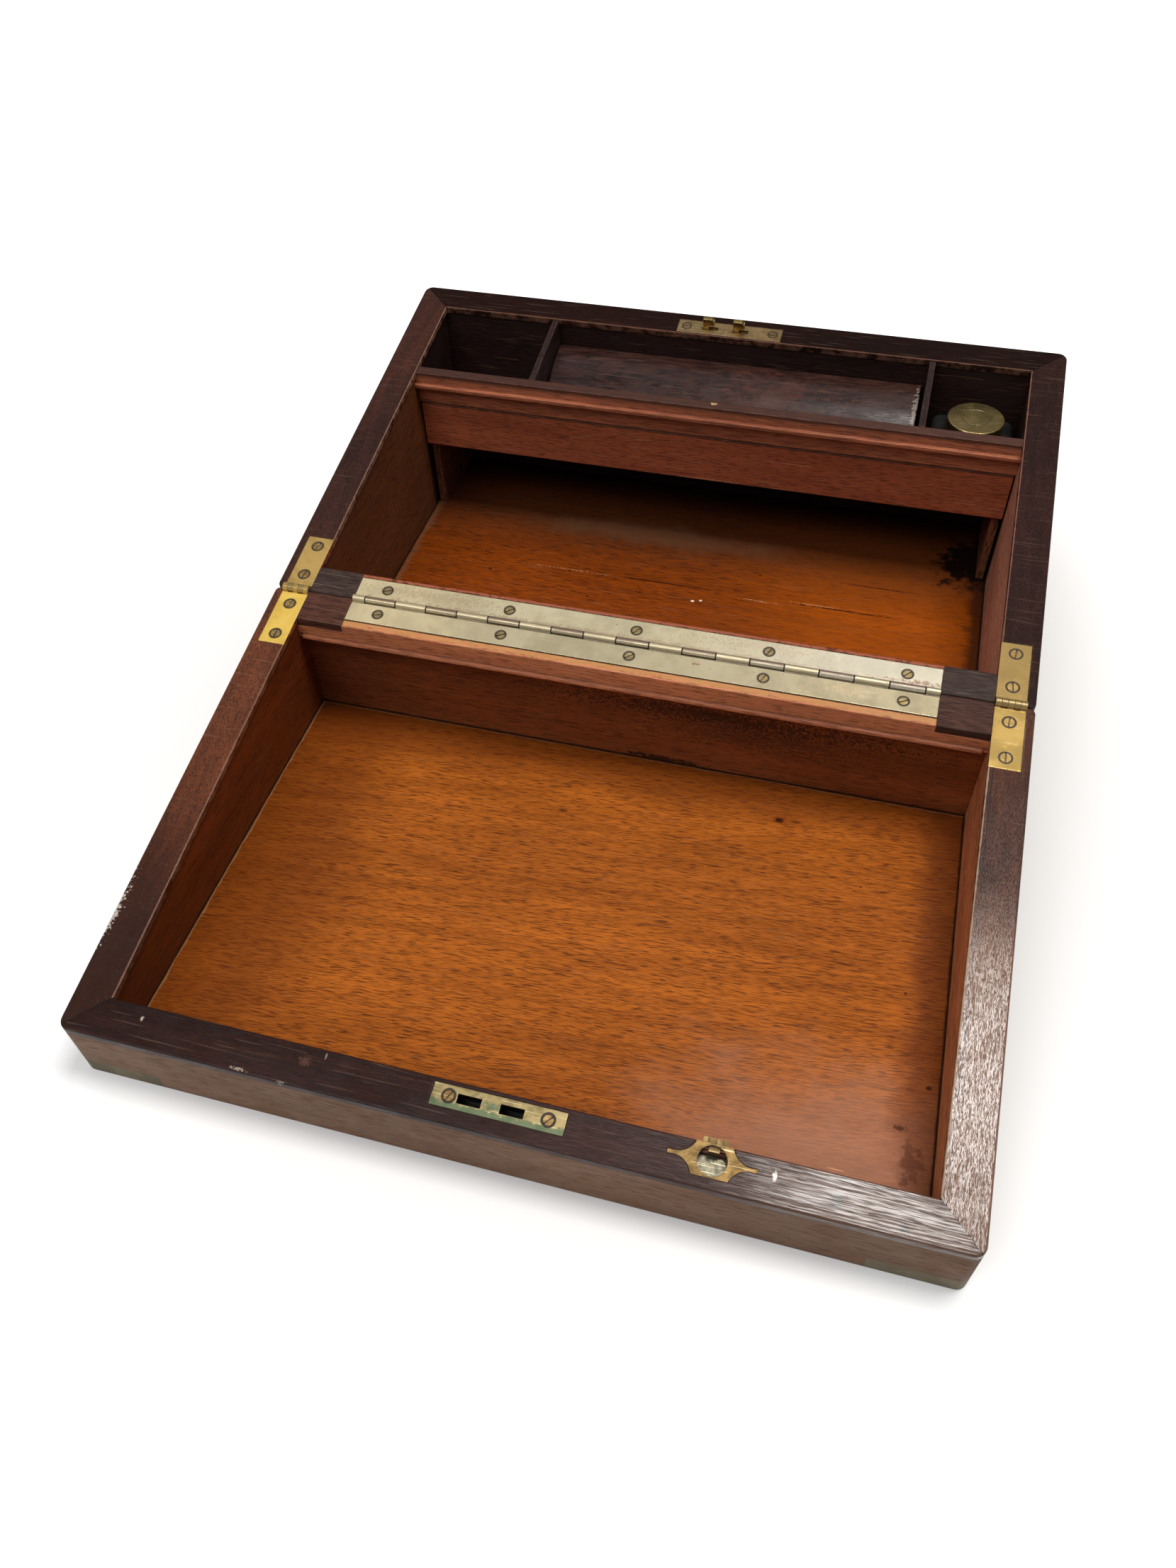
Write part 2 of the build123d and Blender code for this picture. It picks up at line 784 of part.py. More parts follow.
# ------------------------------------------------------------------ pen bay
def rail_profile():
    """Section of the bay's front rail: a stepped top with a ledge for the writing flap."""
    front = bay_wall_back - bay_rail_width
    web_front = bay_wall_back - bay_rail_web
    drop = rim_gap + bay_rail_drop
    ledge_top = rim_z(front) - rim_gap - bay_ledge_drop
    ledge_foot = ledge_top - bay_ledge_thickness
    return (
        (front, rim_z(front) - drop),
        (bay_wall_back, rim_z(bay_wall_back) - drop),
        (bay_wall_back, bay_rail_foot),
        (web_front, bay_rail_foot),
        (web_front, ledge_foot),
        (front - bay_ledge_reach, ledge_foot),
        (front - bay_ledge_reach, ledge_top),
        (front, ledge_top),
    )


with BuildPart() as pen_bay_rail:
    with BuildSketch(Plane.YZ.offset(-side_wall_in)):
        Polygon(*rail_profile(), align=(Align.NONE, Align.NONE))
    extrude(amount=2 * side_wall_in)
    fillet(pen_bay_rail.edges().filter_by(Axis.X).group_by(Axis.Y)[0], rail_ease)
    fillet(pen_bay_rail.edges().filter_by(Axis.X).group_by(Axis.Z)[-1], rail_ease)
    add(facings, mode=Mode.SUBTRACT)
save(pen_bay_rail, "pen_bay_rail")

fascia_half = side_wall_in - fascia_end_gap
save(
    flat_board(
        (-fascia_half, fascia_half),
        (bay_wall_back - fascia_thickness, bay_wall_back),
        (fascia_foot, bay_rail_foot),
    ),
    "pen_bay_fascia",
)
bay_floor_foot = bay_floor_top - bay_floor_thickness
save(
    flat_board(inner_x, (bay_wall_back, far_wall_in), (bay_floor_foot, bay_floor_top)),
    "pen_bay_floor",
)
for x, side_name in ((divider_left_x, "left"), (divider_right_x, "right")):
    save(
        upright_board(
            (x - divider_thickness / 2, x + divider_thickness / 2), (bay_wall_back, far_wall_in),
            bay_floor_top, under_rim(divider_drop), base_core, (facings,),
        ),
        f"pen_bay_divider_{side_name}",
    )
for x_side, side_name in ((-1, "left"), (1, "right")):
    outer = side_wall_in - bearer_setback
    save(
        flat_board(
            (x_side * (outer - bearer_thickness), x_side * outer),
            (bearer_front, far_wall_in - bearer_back_gap),
            (panel_thickness, bay_floor_foot),
        ),
        f"pen_bay_bearer_{side_name}",
    )

cover_left = divider_left_x + divider_thickness / 2 + cover_gap_left
cover_right = divider_right_x - divider_thickness / 2 - cover_gap_right
cover_back = far_in - cover_lift_gap
with BuildPart() as pen_cover:
    with BuildSketch(Plane.YZ.offset(cover_left)):
        with Locations((cover_back, cover_crown - cover_radius)):
            Circle(cover_radius)
            Circle(cover_radius - cover_thickness, mode=Mode.SUBTRACT)
        rectangle_between(
            (cover_back - 2 * cover_radius, cover_back),
            (bay_floor_top + rest_gap, cover_crown + 1),
            mode=Mode.INTERSECT,
        )
    extrude(amount=cover_right - cover_left)
    fillet(pen_cover.edges().filter_by(Axis.X).group_by(Axis.Z)[-1], cover_ease)
save(pen_cover, "pen_cover")


# ------------------------------------------------------------------ travelling inkwell
glass_foot = bay_floor_top + rest_gap
shoulder_top = glass_foot + inkwell_shoulder_height
glass_lip = glass_foot + inkwell_height
cap_top = glass_lip + rest_gap + cap_top_thickness
with BuildPart() as inkwell_bottle:
    with BuildSketch(Plane.XY.offset(glass_foot)):
        with Locations((inkwell_x, inkwell_y)):
            RectangleRounded(inkwell_width, inkwell_depth, inkwell_corner)
    extrude(amount=inkwell_shoulder_height)
    fillet(inkwell_bottle.faces().sort_by(Axis.Z)[-1].edges(), inkwell_shoulder_radius)
    fillet(inkwell_bottle.faces().sort_by(Axis.Z)[0].edges(), inkwell_foot_radius)
    with BuildSketch(Plane.XY.offset(shoulder_top)):
        with Locations((inkwell_x, inkwell_y)):
            Circle(inkwell_neck_radius)
    extrude(amount=inkwell_height - inkwell_shoulder_height)
    with BuildSketch(Plane.XY.offset(glass_foot + inkwell_glass_floor)):
        with Locations((inkwell_x, inkwell_y)):
            Circle(inkwell_bore_radius)
    extrude(amount=inkwell_height, mode=Mode.SUBTRACT)
save(inkwell_bottle, "inkwell_bottle")

collar_radius = inkwell_neck_radius + collar_thickness
with BuildPart() as inkwell_collar:
    with BuildSketch(Plane.XY.offset(shoulder_top)):
        with Locations((inkwell_x, inkwell_y)):
            Circle(collar_radius)
            Circle(inkwell_neck_radius, mode=Mode.SUBTRACT)
    extrude(amount=collar_height)
save(inkwell_collar, "inkwell_collar")

with BuildPart() as inkwell_cap:
    with BuildSketch(Plane.XY.offset(cap_top - cap_height)):
        with Locations((inkwell_x, inkwell_y)):
            Circle(cap_radius)
    extrude(amount=cap_height)
    fillet(inkwell_cap.faces().sort_by(Axis.Z)[-1].edges(), cap_ease)
    with BuildSketch(Plane.XY.offset(cap_top - cap_height)):
        with Locations((inkwell_x, inkwell_y)):
            Circle(collar_radius + cap_clearance)
    extrude(amount=cap_height - cap_top_thickness, mode=Mode.SUBTRACT)
    with BuildSketch(Plane.XY.offset(cap_top)):
        with Locations((inkwell_x, inkwell_y)):
            Circle(cap_ring_radius + cap_ring_width / 2)
            Circle(cap_ring_radius - cap_ring_width / 2, mode=Mode.SUBTRACT)
    extrude(amount=-cap_ring_depth, mode=Mode.SUBTRACT)
save(inkwell_cap, "inkwell_cap")


# ------------------------------------------------------------------ hinges
def hinge_leaf(half, x_limits, leaf_reach, leaf_thickness, barrel_radius, pin_radius, knuckles, hole):
    """One leaf with its own knuckles; half is 1 for the base and -1 for the lid."""
    near = half * (barrel_radius + swing_gap)
    with BuildPart() as leaf:
        with BuildSketch(under_rim(leaf_thickness)):
            rectangle_between(x_limits, (near, half * leaf_reach))
            for start, end in knuckles:
                rectangle_between((start, end), (0, near))
        extrude(amount=leaf_thickness - leaf_sink)
        for start, end in knuckles:
            with BuildSketch(Plane.YZ.offset(start)):
                with Locations((0, hinge_height)):
                    Circle(barrel_radius)
            extrude(amount=end - start)
        with BuildSketch(Plane.YZ.offset(x_limits[0] - 1)):
            with Locations((0, hinge_height)):
                Circle(pin_radius + pin_clearance)
        extrude(amount=x_limits[1] - x_limits[0] + 2, mode=Mode.SUBTRACT)
        add(hole, mode=Mode.SUBTRACT)
    return leaf


def hinge_pin(x_limits, pin_radius):
    """Plain pin, a little shorter than its barrel."""
    with BuildPart() as pin:
        with BuildSketch(Plane.YZ.offset(x_limits[0] + knuckle_gap)):
            with Locations((0, hinge_height)):
                Circle(pin_radius)
        extrude(amount=x_limits[1] - x_limits[0] - 2 * knuckle_gap)
    return pin


def spans(edges):
    """Knuckles between successive edges, each a hair short at both ends."""
    return [(a + knuckle_gap / 2, b - knuckle_gap / 2) for a, b in zip(edges, edges[1:])]


for x_side, side_name in ((-1, "left"), (1, "right")):
    limits = strap_limits(x_side)
    pitch = strap_leaf_width / strap_knuckles
    strap_spans = spans([limits[0] + step * pitch for step in range(strap_knuckles + 1)])
    for half, half_name, first in ((1, "base", 1), (-1, "lid", 0)):
        save(
            hinge_leaf(
                half, limits, strap_leaf_reach, strap_leaf_thickness, strap_barrel_radius,
                strap_pin_radius, strap_spans[first::2], holes[half_name][0],
            ),
            f"strap_hinge_{side_name}_{half_name}_leaf",
        )

with BuildPart() as strap_hinge_pins:
    for x_side in (-1, 1):
        add(hinge_pin(strap_limits(x_side), strap_pin_radius).part)
save(strap_hinge_pins, "strap_hinge_pins")

inner_edge = piano_knuckle_pitch * piano_full_knuckles / 2
piano_edges = [
    -piano_half,
    *(-inner_edge + step * piano_knuckle_pitch for step in range(piano_full_knuckles + 1)),
    piano_half,
]
piano_spans = spans(piano_edges)
piano_limits = (-piano_half, piano_half)
for half, half_name, first in ((1, "base", 1), (-1, "lid", 0)):
    save(
        hinge_leaf(
            half, piano_limits, piano_leaf_reach, piano_leaf_thickness, piano_barrel_radius,
            piano_pin_radius, piano_spans[first::2], holes[half_name][1],
        ),
        f"piano_hinge_{half_name}_leaf",
    )
save(hinge_pin(piano_limits, piano_pin_radius), "piano_hinge_pin")


# ------------------------------------------------------------------ lock and strike
lock_plane = Plane(
    origin=rim_plane.from_local_coords(Vector(0, latch_v, 0)),
    x_dir=(1, 0, 0),
    z_dir=(0, -cos(slope), -sin(slope)),
)
hook_lefts = (hook_left_x, hook_left_x + hook_pitch)
slot_half = hook_thickness / 2 + lock_slot_margin

with BuildPart() as lock_plate:
    with BuildSketch(under_rim(latch_plate_thickness)):
        with Locations((lock_x, latch_v)):
            Rectangle(lock_plate_length, lock_plate_width)
        for left in hook_lefts:
            rectangle_between(
                (left - lock_slot_margin, left + hook_stem + bolt_throw + lock_slot_margin),
                (latch_v - slot_half, latch_v + slot_half),
                mode=Mode.SUBTRACT,
            )
    extrude(amount=latch_plate_thickness - leaf_sink)
    add(holes["base"][2], mode=Mode.SUBTRACT)
save(lock_plate, "lock_plate")

with BuildPart() as lock_case:
    with BuildSketch(under_rim(latch_plate_thickness)):
        with Locations((lock_x, latch_v)):
            Rectangle(lock_case_length, lock_case_room + 2 * lock_case_wall)
    extrude(amount=-lock_case_depth)
    with BuildSketch(under_rim(latch_plate_thickness)):
        with Locations((lock_x, latch_v)):
            Rectangle(lock_case_length - 2 * lock_case_wall, lock_case_room)
    extrude(amount=-(lock_case_depth - lock_case_wall), mode=Mode.SUBTRACT)
    add(key_room, mode=Mode.SUBTRACT)
save(lock_case, "lock_case")

with BuildPart() as lock_bolt:
    with BuildSketch(lock_plane) as bolt_face:
        rectangle_between((bolt_left_x, bolt_right_x), (-bolt_foot, -bolt_top))
        for left in hook_lefts:
            rectangle_between((left, left + hook_stem), (-bolt_foot, hook_height))
            rectangle_between((left, left + hook_length), (hook_throat, hook_height))
        tips = bolt_face.vertices().group_by(Axis.Y)[-1].sort_by(Axis.X)
        fillet([tips[1], tips[3]], hook_nose_radius)
    extrude(amount=hook_thickness / 2, both=True)
save(lock_bolt, "lock_bolt")

with BuildPart() as lock_tumbler:
    with BuildSketch(lock_plane):
        rectangle_between(
            (tumbler_x, tumbler_x + tumbler_length),
            (-tumbler_place - tumbler_depth / 2, -tumbler_place + tumbler_depth / 2),
        )
    extrude(amount=tumbler_thickness / 2, both=True)
    with BuildSketch(lock_plane):
        with Locations((tumbler_x + tumbler_depth / 2, -tumbler_place)):
            Circle(tumbler_pivot_radius)
    extrude(amount=lock_case_room / 2, both=True)
save(lock_tumbler, "lock_tumbler")

with BuildPart() as strike_plate:
    with BuildSketch(under_rim(latch_plate_thickness)):
        with Locations((strike_x, -latch_v)):
            Rectangle(strike_length, strike_width)
        for slot in strike_slots:
            rectangle_between(
                slot,
                (-latch_v - strike_slot_width / 2, -latch_v + strike_slot_width / 2),
                mode=Mode.SUBTRACT,
            )
    extrude(amount=latch_plate_thickness - leaf_sink)
    add(holes["lid"][2], mode=Mode.SUBTRACT)
save(strike_plate, "strike_plate")


# ------------------------------------------------------------------ flap catch
with BuildPart() as catch_plate:
    with BuildSketch(catch_seat):
        add(catch_outline())
        Circle(catch_cup_radius, mode=Mode.SUBTRACT)
    extrude(amount=catch_plate_thickness - leaf_sink)
save(catch_plate, "catch_plate")

cup_outer = catch_cup_radius + catch_cup_wall
with BuildPart() as catch_cup:
    with BuildSketch(catch_seat):
        Circle(cup_outer)
        rectangle_between(
            (-cup_outer, cup_outer), (catch_cup_chord, cup_outer), mode=Mode.SUBTRACT
        )
    extrude(amount=-catch_cup_depth)
    with BuildSketch(catch_seat):
        Circle(catch_cup_radius)
    extrude(amount=-(catch_cup_depth - catch_cup_wall), mode=Mode.SUBTRACT)
    add(bolt_channel(), mode=Mode.SUBTRACT)
save(catch_cup, "catch_cup")

nose_start = catch_nose_reach - catch_nose_length
bolt_face_plane = catch_seat.offset(-catch_clearance)
with BuildPart() as catch_bolt:
    with BuildSketch(bolt_face_plane):
        rectangle_between(
            (-catch_nose_width / 2, catch_nose_width / 2), (nose_start, catch_nose_reach)
        )
        rectangle_between(
            (-catch_thumb_width / 2, catch_thumb_width / 2), (catch_thumb_place, nose_start)
        )
    extrude(amount=-catch_bolt_thickness)
    with BuildSketch(bolt_face_plane):
        rectangle_between(
            (-catch_thumb_width / 2, catch_thumb_width / 2),
            (catch_thumb_place, catch_thumb_place + catch_thumb_thickness),
        )
    extrude(amount=catch_plate_thickness + catch_clearance - catch_thumb_drop)
    with BuildSketch(bolt_face_plane):
        for place in catch_ridge_places:
            rectangle_between(
                (place - catch_ridge_width / 2, place + catch_ridge_width / 2),
                (catch_body_reach, catch_nose_reach),
            )
    extrude(amount=-catch_ridge_depth, mode=Mode.SUBTRACT)
save(catch_bolt, "catch_bolt")
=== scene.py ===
"""A folding writing slope, opened out flat: its finishes, its studio and its camera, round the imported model.

The two halves lie hinge to hinge. X runs along the hinges, Y from the front of the lid half to the back of
the base half, and Z up from the table.
"""

import logging
from dataclasses import dataclass, replace
from enum import Enum
from math import radians

import bpy
from mathutils import Matrix, Vector

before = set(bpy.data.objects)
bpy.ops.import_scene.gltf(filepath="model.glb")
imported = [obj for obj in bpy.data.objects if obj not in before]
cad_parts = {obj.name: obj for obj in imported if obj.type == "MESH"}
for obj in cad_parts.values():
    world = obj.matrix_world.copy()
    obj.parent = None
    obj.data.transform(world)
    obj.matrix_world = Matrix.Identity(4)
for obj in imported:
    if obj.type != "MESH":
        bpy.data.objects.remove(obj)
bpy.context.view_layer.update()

Tone = tuple[float, float, float, float]
Triple = tuple[float, float, float]
Node = bpy.types.Node
Socket = bpy.types.NodeSocket
Feed = float | tuple[float, ...] | Socket

PIN_HEIGHT = 0.072

logging.basicConfig(level=logging.INFO, format="%(message)s")
log = logging.getLogger("writing_slope")


def tone(red: int, green: int, blue: int) -> Tone:
    """Turns a colour as a paint chart gives it into the linear colour that a shader takes.

    Args:
        red: Red, 0 to 255.
        green: Green, 0 to 255.
        blue: Blue, 0 to 255.

    Returns:
        The linear colour with a full alpha.
    """
    parts = [value / 255.0 for value in (red, green, blue)]
    linear = [part / 12.92 if part <= 0.04045 else ((part + 0.055) / 1.055) ** 2.4 for part in parts]
    return (linear[0], linear[1], linear[2], 1.0)


class Run(Enum):
    """The way the grain of a piece of wood runs."""

    ALONG_X = "along the hinge"
    ALONG_Y = "from front to back"
    ALONG_Z = "upright"
    ROUND_BOX = "level, round the four sides"


class Axis(Enum):
    """One axis of the slope, by its place in a vector."""

    X = 0
    Y = 1
    Z = 2


# ------------------------------------------------------------------------------------------------ shader work


class Bench:
    """Lays out shader nodes in one tree and joins them."""

    def __init__(self, tree: bpy.types.NodeTree) -> None:
        """Takes the tree to work in."""
        self.tree = tree

    def feed(self, socket: Socket, value: Feed) -> None:
        """Joins a socket to another, or sets its value.

        Args:
            socket: The input to feed.
            value: An output socket, or a plain value.
        """
        if isinstance(value, Socket):
            self.tree.links.new(value, socket)
        else:
            socket.default_value = value

    def put(self, kind: str, inputs: dict[int | str, Feed] | None = None, **settings: object) -> Node:
        """Adds a node.

        Args:
            kind: The node's Blender type name.
            inputs: What goes to its inputs, by name or number.
            **settings: Properties of the node, set before its inputs.

        Returns:
            The new node.
        """
        node = self.tree.nodes.new(kind)
        for name, value in settings.items():
            setattr(node, name, value)
        for key, value in (inputs or {}).items():
            self.feed(node.inputs[key], value)
        return node

    def sum_up(self, operation: str, *values: Feed, clamp: bool = False) -> Socket:
        """Returns a Math node's answer, held between 0 and 1 where clamp is true."""
        node = self.put("ShaderNodeMath", dict(enumerate(values)), operation=operation, use_clamp=clamp)
        return node.outputs[0]

    def times(self, first: Feed, second: Feed, clamp: bool = False) -> Socket:
        """Returns the product of two numbers."""
        return self.sum_up("MULTIPLY", first, second, clamp=clamp)

    def plus(self, first: Feed, second: Feed, clamp: bool = False) -> Socket:
        """Returns the sum of two numbers."""
        return self.sum_up("ADD", first, second, clamp=clamp)

    def less(self, first: Feed, second: Feed, clamp: bool = False) -> Socket:
        """Returns the first number with the second taken away."""
        return self.sum_up("SUBTRACT", first, second, clamp=clamp)

    def over(self, first: Feed, second: Feed) -> Socket:
        """Returns the larger of two numbers."""
        return self.sum_up("MAXIMUM", first, second)

    def size(self, value: Feed) -> Socket:
        """Returns a number without its sign."""
        return self.sum_up("ABSOLUTE", value)

    def ease(self, value: Feed, low: Feed, high: Feed, start: float = 0.0, end: float = 1.0) -> Socket:
        """Returns a number that eases from start to end as value climbs from low to high."""
        inputs = {"Value": value, "From Min": low, "From Max": high, "To Min": start, "To Max": end}
        return self.put("ShaderNodeMapRange", inputs, interpolation_type="SMOOTHSTEP").outputs[0]

    def fade(self, value: Feed, low: Feed, high: Feed) -> Socket:
        """Returns a number that eases from 1 to 0 as value climbs from low to high."""
        return self.ease(value, low, high, 1.0, 0.0)

    def vector(self, operation: str, *values: Feed) -> Socket:
        """Returns a Vector Math node's answer: a number for a length, a distance or a dot product."""
        node = self.put("ShaderNodeVectorMath", dict(enumerate(values)), operation=operation)
        return node.outputs["Value" if operation in ("LENGTH", "DOT_PRODUCT", "DISTANCE") else "Vector"]

    def scaled(self, value: Feed, size: Feed) -> Socket:
        """Returns a vector made size times as long."""
        node = self.put("ShaderNodeVectorMath", {0: value, "Scale": size}, operation="SCALE")
        return node.outputs["Vector"]

    def split(self, value: Feed) -> list[Socket]:
        """Returns a vector's three parts."""
        return list(self.put("ShaderNodeSeparateXYZ", {0: value}).outputs)

    def join(self, *parts: Feed) -> Socket:
        """Returns the vector that has these three parts."""
        return self.put("ShaderNodeCombineXYZ", dict(enumerate(parts))).outputs[0]

    def blend(self, share: Feed, first: Feed, second: Feed) -> Socket:
        """Returns the first colour with a share of the second over it."""
        inputs = {0: share, 6: first, 7: second}
        return self.put("ShaderNodeMix", inputs, data_type="RGBA", clamp_factor=True).outputs[2]

    def noise(self, place: Feed, scale: Feed, detail: float, rough: float = 0.5, twist: Feed = 0.0) -> Socket:
        """Returns a noise value about 0.5, at a place that is scaled up by scale."""
        inputs = {"Vector": place, "Scale": scale, "Detail": detail, "Roughness": rough, "Distortion": twist}
        return self.put("ShaderNodeTexNoise", inputs).outputs[0]

    def here(self) -> Socket:
        """Returns the place on the piece, in metres."""
        return self.put("ShaderNodeTexCoord").outputs["Object"]

    def flat(self) -> Socket:
        """Returns the normal of the face, without any smoothing."""
        return self.put("ShaderNodeNewGeometry").outputs["True Normal"]

    def bump(self, height: Feed, depth: float, under: Feed) -> Socket:
        """Returns the normal under, bent as by a surface that stands up by depth metres where height is 1."""
        inputs = {"Height": height, "Distance": depth, "Strength": 1.0, "Normal": under}
        return self.put("ShaderNodeBump", inputs).outputs[0]

    def effect(self, effect: "Effect", **inputs: Feed) -> bpy.types.bpy_prop_collection:
        """Places a shared effect.

        Args:
            effect: The effect.
            **inputs: What goes to its inputs, by their names in small letters with underscores.

        Returns:
            Its outputs, to be taken by name.
        """
        named = {name.replace("_", " ").capitalize(): value for name, value in inputs.items()}
        node = self.put("ShaderNodeGroup", node_tree=effect.tree)
        node.name = effect.title
        for name, value in named.items():
            self.feed(node.inputs[name], value)
        return node.outputs


class Effect(Bench):
    """A pattern or mask that several finishes share: one shader node group, laid out once.

    Each kind names its group, its inputs with their usual values (None for a vector), and its outputs.
    """

    title = ""
    takes: dict[str, float | None] = {}
    gives: tuple[str, ...] = ()

    def __init__(self) -> None:
        """Makes the group with its inputs and outputs, and lays out its nodes."""
        super().__init__(bpy.data.node_groups.new(self.title, "ShaderNodeTree"))
        for name, usual in self.takes.items():
            socket = self.add_socket("INPUT", name, usual is None)
            if usual is not None:
                socket.default_value = usual
        for name in self.gives:
            self.add_socket("OUTPUT", name, name == "Normal")
        self.given = self.put("NodeGroupInput").outputs
        self.wanted = self.put("NodeGroupOutput").inputs
        self.lay_out()

    def add_socket(self, side: str, name: str, direction: bool) -> bpy.types.NodeTreeInterfaceSocket:
        """Returns a new input or output of the group, for a vector where direction is true."""
        kind = "NodeSocketVector" if direction else "NodeSocketFloat"
        return self.tree.interface.new_socket(name=name, in_out=side, socket_type=kind)

    def speckle(self, size: str, detail: float, rough: float, twist: float = 0.0) -> Socket:
        """Returns noise whose lumps are as large as the group's input of that name says."""
        fineness = self.sum_up("DIVIDE", 1.0, self.given[size])
        return self.noise(self.given["Place"], fineness, detail, rough, twist)

    def hand_out(self, **answers: Socket) -> None:
        """Feeds the group's outputs, by name."""
        for name, value in answers.items():
            self.feed(self.wanted[name], value)

    def lay_out(self) -> None:
        """Lays out the group's nodes."""
        raise NotImplementedError


class Grain(Effect):
    """Wood grain along X: short open pores, fine fibres, slow figure and clouds."""

    title = "wood_grain"
    takes = {"Place": None, "Seed": 0.0, "Pore length": 0.005, "Pore width": 0.0005, "Pore cover": 0.5,
             "Figure length": 0.12, "Figure width": 0.012, "Figure twist": 0.4, "Waver": 0.002}
    gives = ("Pores", "Fibres", "Figure", "Clouds")

    def lay_out(self) -> None:
        """Lays out the group's nodes."""
        given = self.given
        moved = self.vector("ADD", given["Place"], self.scaled((1.7, 2.3, 3.1), given["Seed"]))
        slow = self.noise(self.vector("MULTIPLY", moved, (7.0, 26.0, 26.0)), 1.0, 2.0)
        drift = self.times(self.less(slow, 0.5), given["Waver"])
        along, across, deep = self.split(moved)
        bent = self.join(along, self.plus(across, drift), self.plus(deep, drift))
        pore_size = self.join(given["Pore length"], given["Pore width"], given["Pore width"])
        pore = self.noise(self.vector("DIVIDE", bent, pore_size), 1.0, 1.0, 0.45)
        edge = self.less(1.0, given["Pore cover"])
        figure_size = self.join(given["Figure length"], given["Figure width"], given["Figure width"])
        figure = self.noise(self.vector("DIVIDE", bent, figure_size), 1.0, 3.0, 0.55, given["Figure twist"])
        clouds = self.noise(self.vector("MULTIPLY", moved, (9.0, 21.0, 21.0)), 1.0, 3.0, 0.5, 0.3)
        self.hand_out(
            Pores=self.ease(pore, edge, self.plus(edge, 0.09)),
            Fibres=self.noise(self.vector("MULTIPLY", bent, (26.0, 1500.0, 1500.0)), 1.0, 2.5, 0.6),
            Figure=self.ease(figure, 0.28, 0.72),
            Clouds=self.ease(clouds, 0.3, 0.7))


class WornEdge(Effect):
    """The edges of a piece: a mask of where hands have rubbed them, and a normal that rounds them over."""

    title = "worn_edge"
    takes = {"Place": None, "Radius": 0.0012, "Breaks": 0.5, "Break size": 0.006}
    gives = ("Mask", "Normal")

    def lay_out(self) -> None:
        """Lays out the group's nodes."""
        rounded = self.put("ShaderNodeBevel", {"Radius": self.given["Radius"]}, samples=4).outputs[0]
        turn = self.less(1.0, self.vector("DOT_PRODUCT", rounded, self.flat()))
        patchy = self.ease(self.speckle("Break size", 3.0, 0.6), 0.4, 0.62)
        kept = self.less(1.0, self.times(self.given["Breaks"], self.less(1.0, patchy)))
        self.hand_out(Mask=self.times(self.ease(turn, 0.01, 0.22), kept, clamp=True), Normal=rounded)


class Mark(Effect):
    """A ragged patch round a centre, such as a knot, a stain, a chip, a split, or a patch of painted shade or
    painted highlight.
    """

    title = "ragged_mark"
    takes = {"Place": None, "Centre": None, "Spread": None, "Ragged": 0.4, "Rag size": 0.003, "Soft": 0.4}
    gives = ("Mask",)

    def lay_out(self) -> None:
        """Lays out the group's nodes."""
        given = self.given
        off = self.vector("SUBTRACT", given["Place"], given["Centre"])
        apart = self.vector("DIVIDE", off, given["Spread"])
        rag = self.less(self.speckle("Rag size", 2.5, 0.6), 0.5)
        reach = self.plus(self.vector("LENGTH", apart), self.times(rag, self.times(given["Ragged"], 3.0)))
        self.hand_out(Mask=self.fade(reach, self.less(1.0, given["Soft"]), 1.0))


class Band(Effect):
    """A ragged band beside a line on one axis, such as dirt at the foot of a wall, a joint line, or a band of
    painted shade or painted highlight.
    """

    title = "ragged_band"
    takes = {"Place": None, "Distance": 0.0, "Reach": 0.002, "Ragged": 0.5, "Rag size": 0.004}
    gives = ("Mask",)

    def lay_out(self) -> None:
        """Lays out the group's nodes."""
        given = self.given
        rag = self.less(self.speckle("Rag size", 3.0, 0.6), 0.5)
        share = self.sum_up("MULTIPLY_ADD", rag, self.times(given["Ragged"], 4.0), 1.0)
        reach = self.times(given["Reach"], share)
        near = self.size(given["Distance"])
        self.hand_out(Mask=self.fade(near, self.times(reach, 0.35), self.over(reach, 0.00001)))


class Scratches(Effect):
    """Fine straight scratches in three directions, and the soft bloom of wear."""

    title = "fine_scratches"
    takes = {"Place": None, "Spacing": 0.004, "Amount": 0.5}
    gives = ("Lines", "Bloom")

    def lay_out(self) -> None:
        """Lays out the group's nodes."""
        spacing = self.given["Spacing"]
        fine = self.vector("DIVIDE", self.given["Place"], self.join(spacing, spacing, spacing))
        edge = self.less(0.86, self.times(self.given["Amount"], 0.2))
        lines: list[Socket] = []
        for turn in (0.45, -0.8, 1.9):
            laid = {"Vector": fine, "Rotation": (0.3, 0.2, turn), "Scale": (0.35, 13.0, 13.0)}
            line = self.noise(self.put("ShaderNodeMapping", laid).outputs[0], 1.0, 0.0)
            lines.append(self.ease(line, edge, self.plus(edge, 0.05)))
        self.hand_out(
            Lines=self.over(self.over(lines[0], lines[1]), lines[2]),
            Bloom=self.ease(self.noise(fine, 0.4, 4.0, 0.62), 0.36, 0.66))


class Tarnish(Effect):
    """The dulled skin of old brass: broad patches, and small dark pits."""

    title = "brass_tarnish"
    takes = {"Place": None, "Patch size": 0.006, "Pit size": 0.0008, "Pit share": 0.3}
    gives = ("Patches", "Pits")

    def lay_out(self) -> None:
        """Lays out the group's nodes."""
        edge = self.less(0.82, self.times(self.given["Pit share"], 0.3))
        self.hand_out(
            Patches=self.ease(self.speckle("Patch size", 4.0, 0.62, 0.6), 0.36, 0.66),
            Pits=self.ease(self.speckle("Pit size", 2.0, 0.5), edge, self.plus(edge, 0.06)))


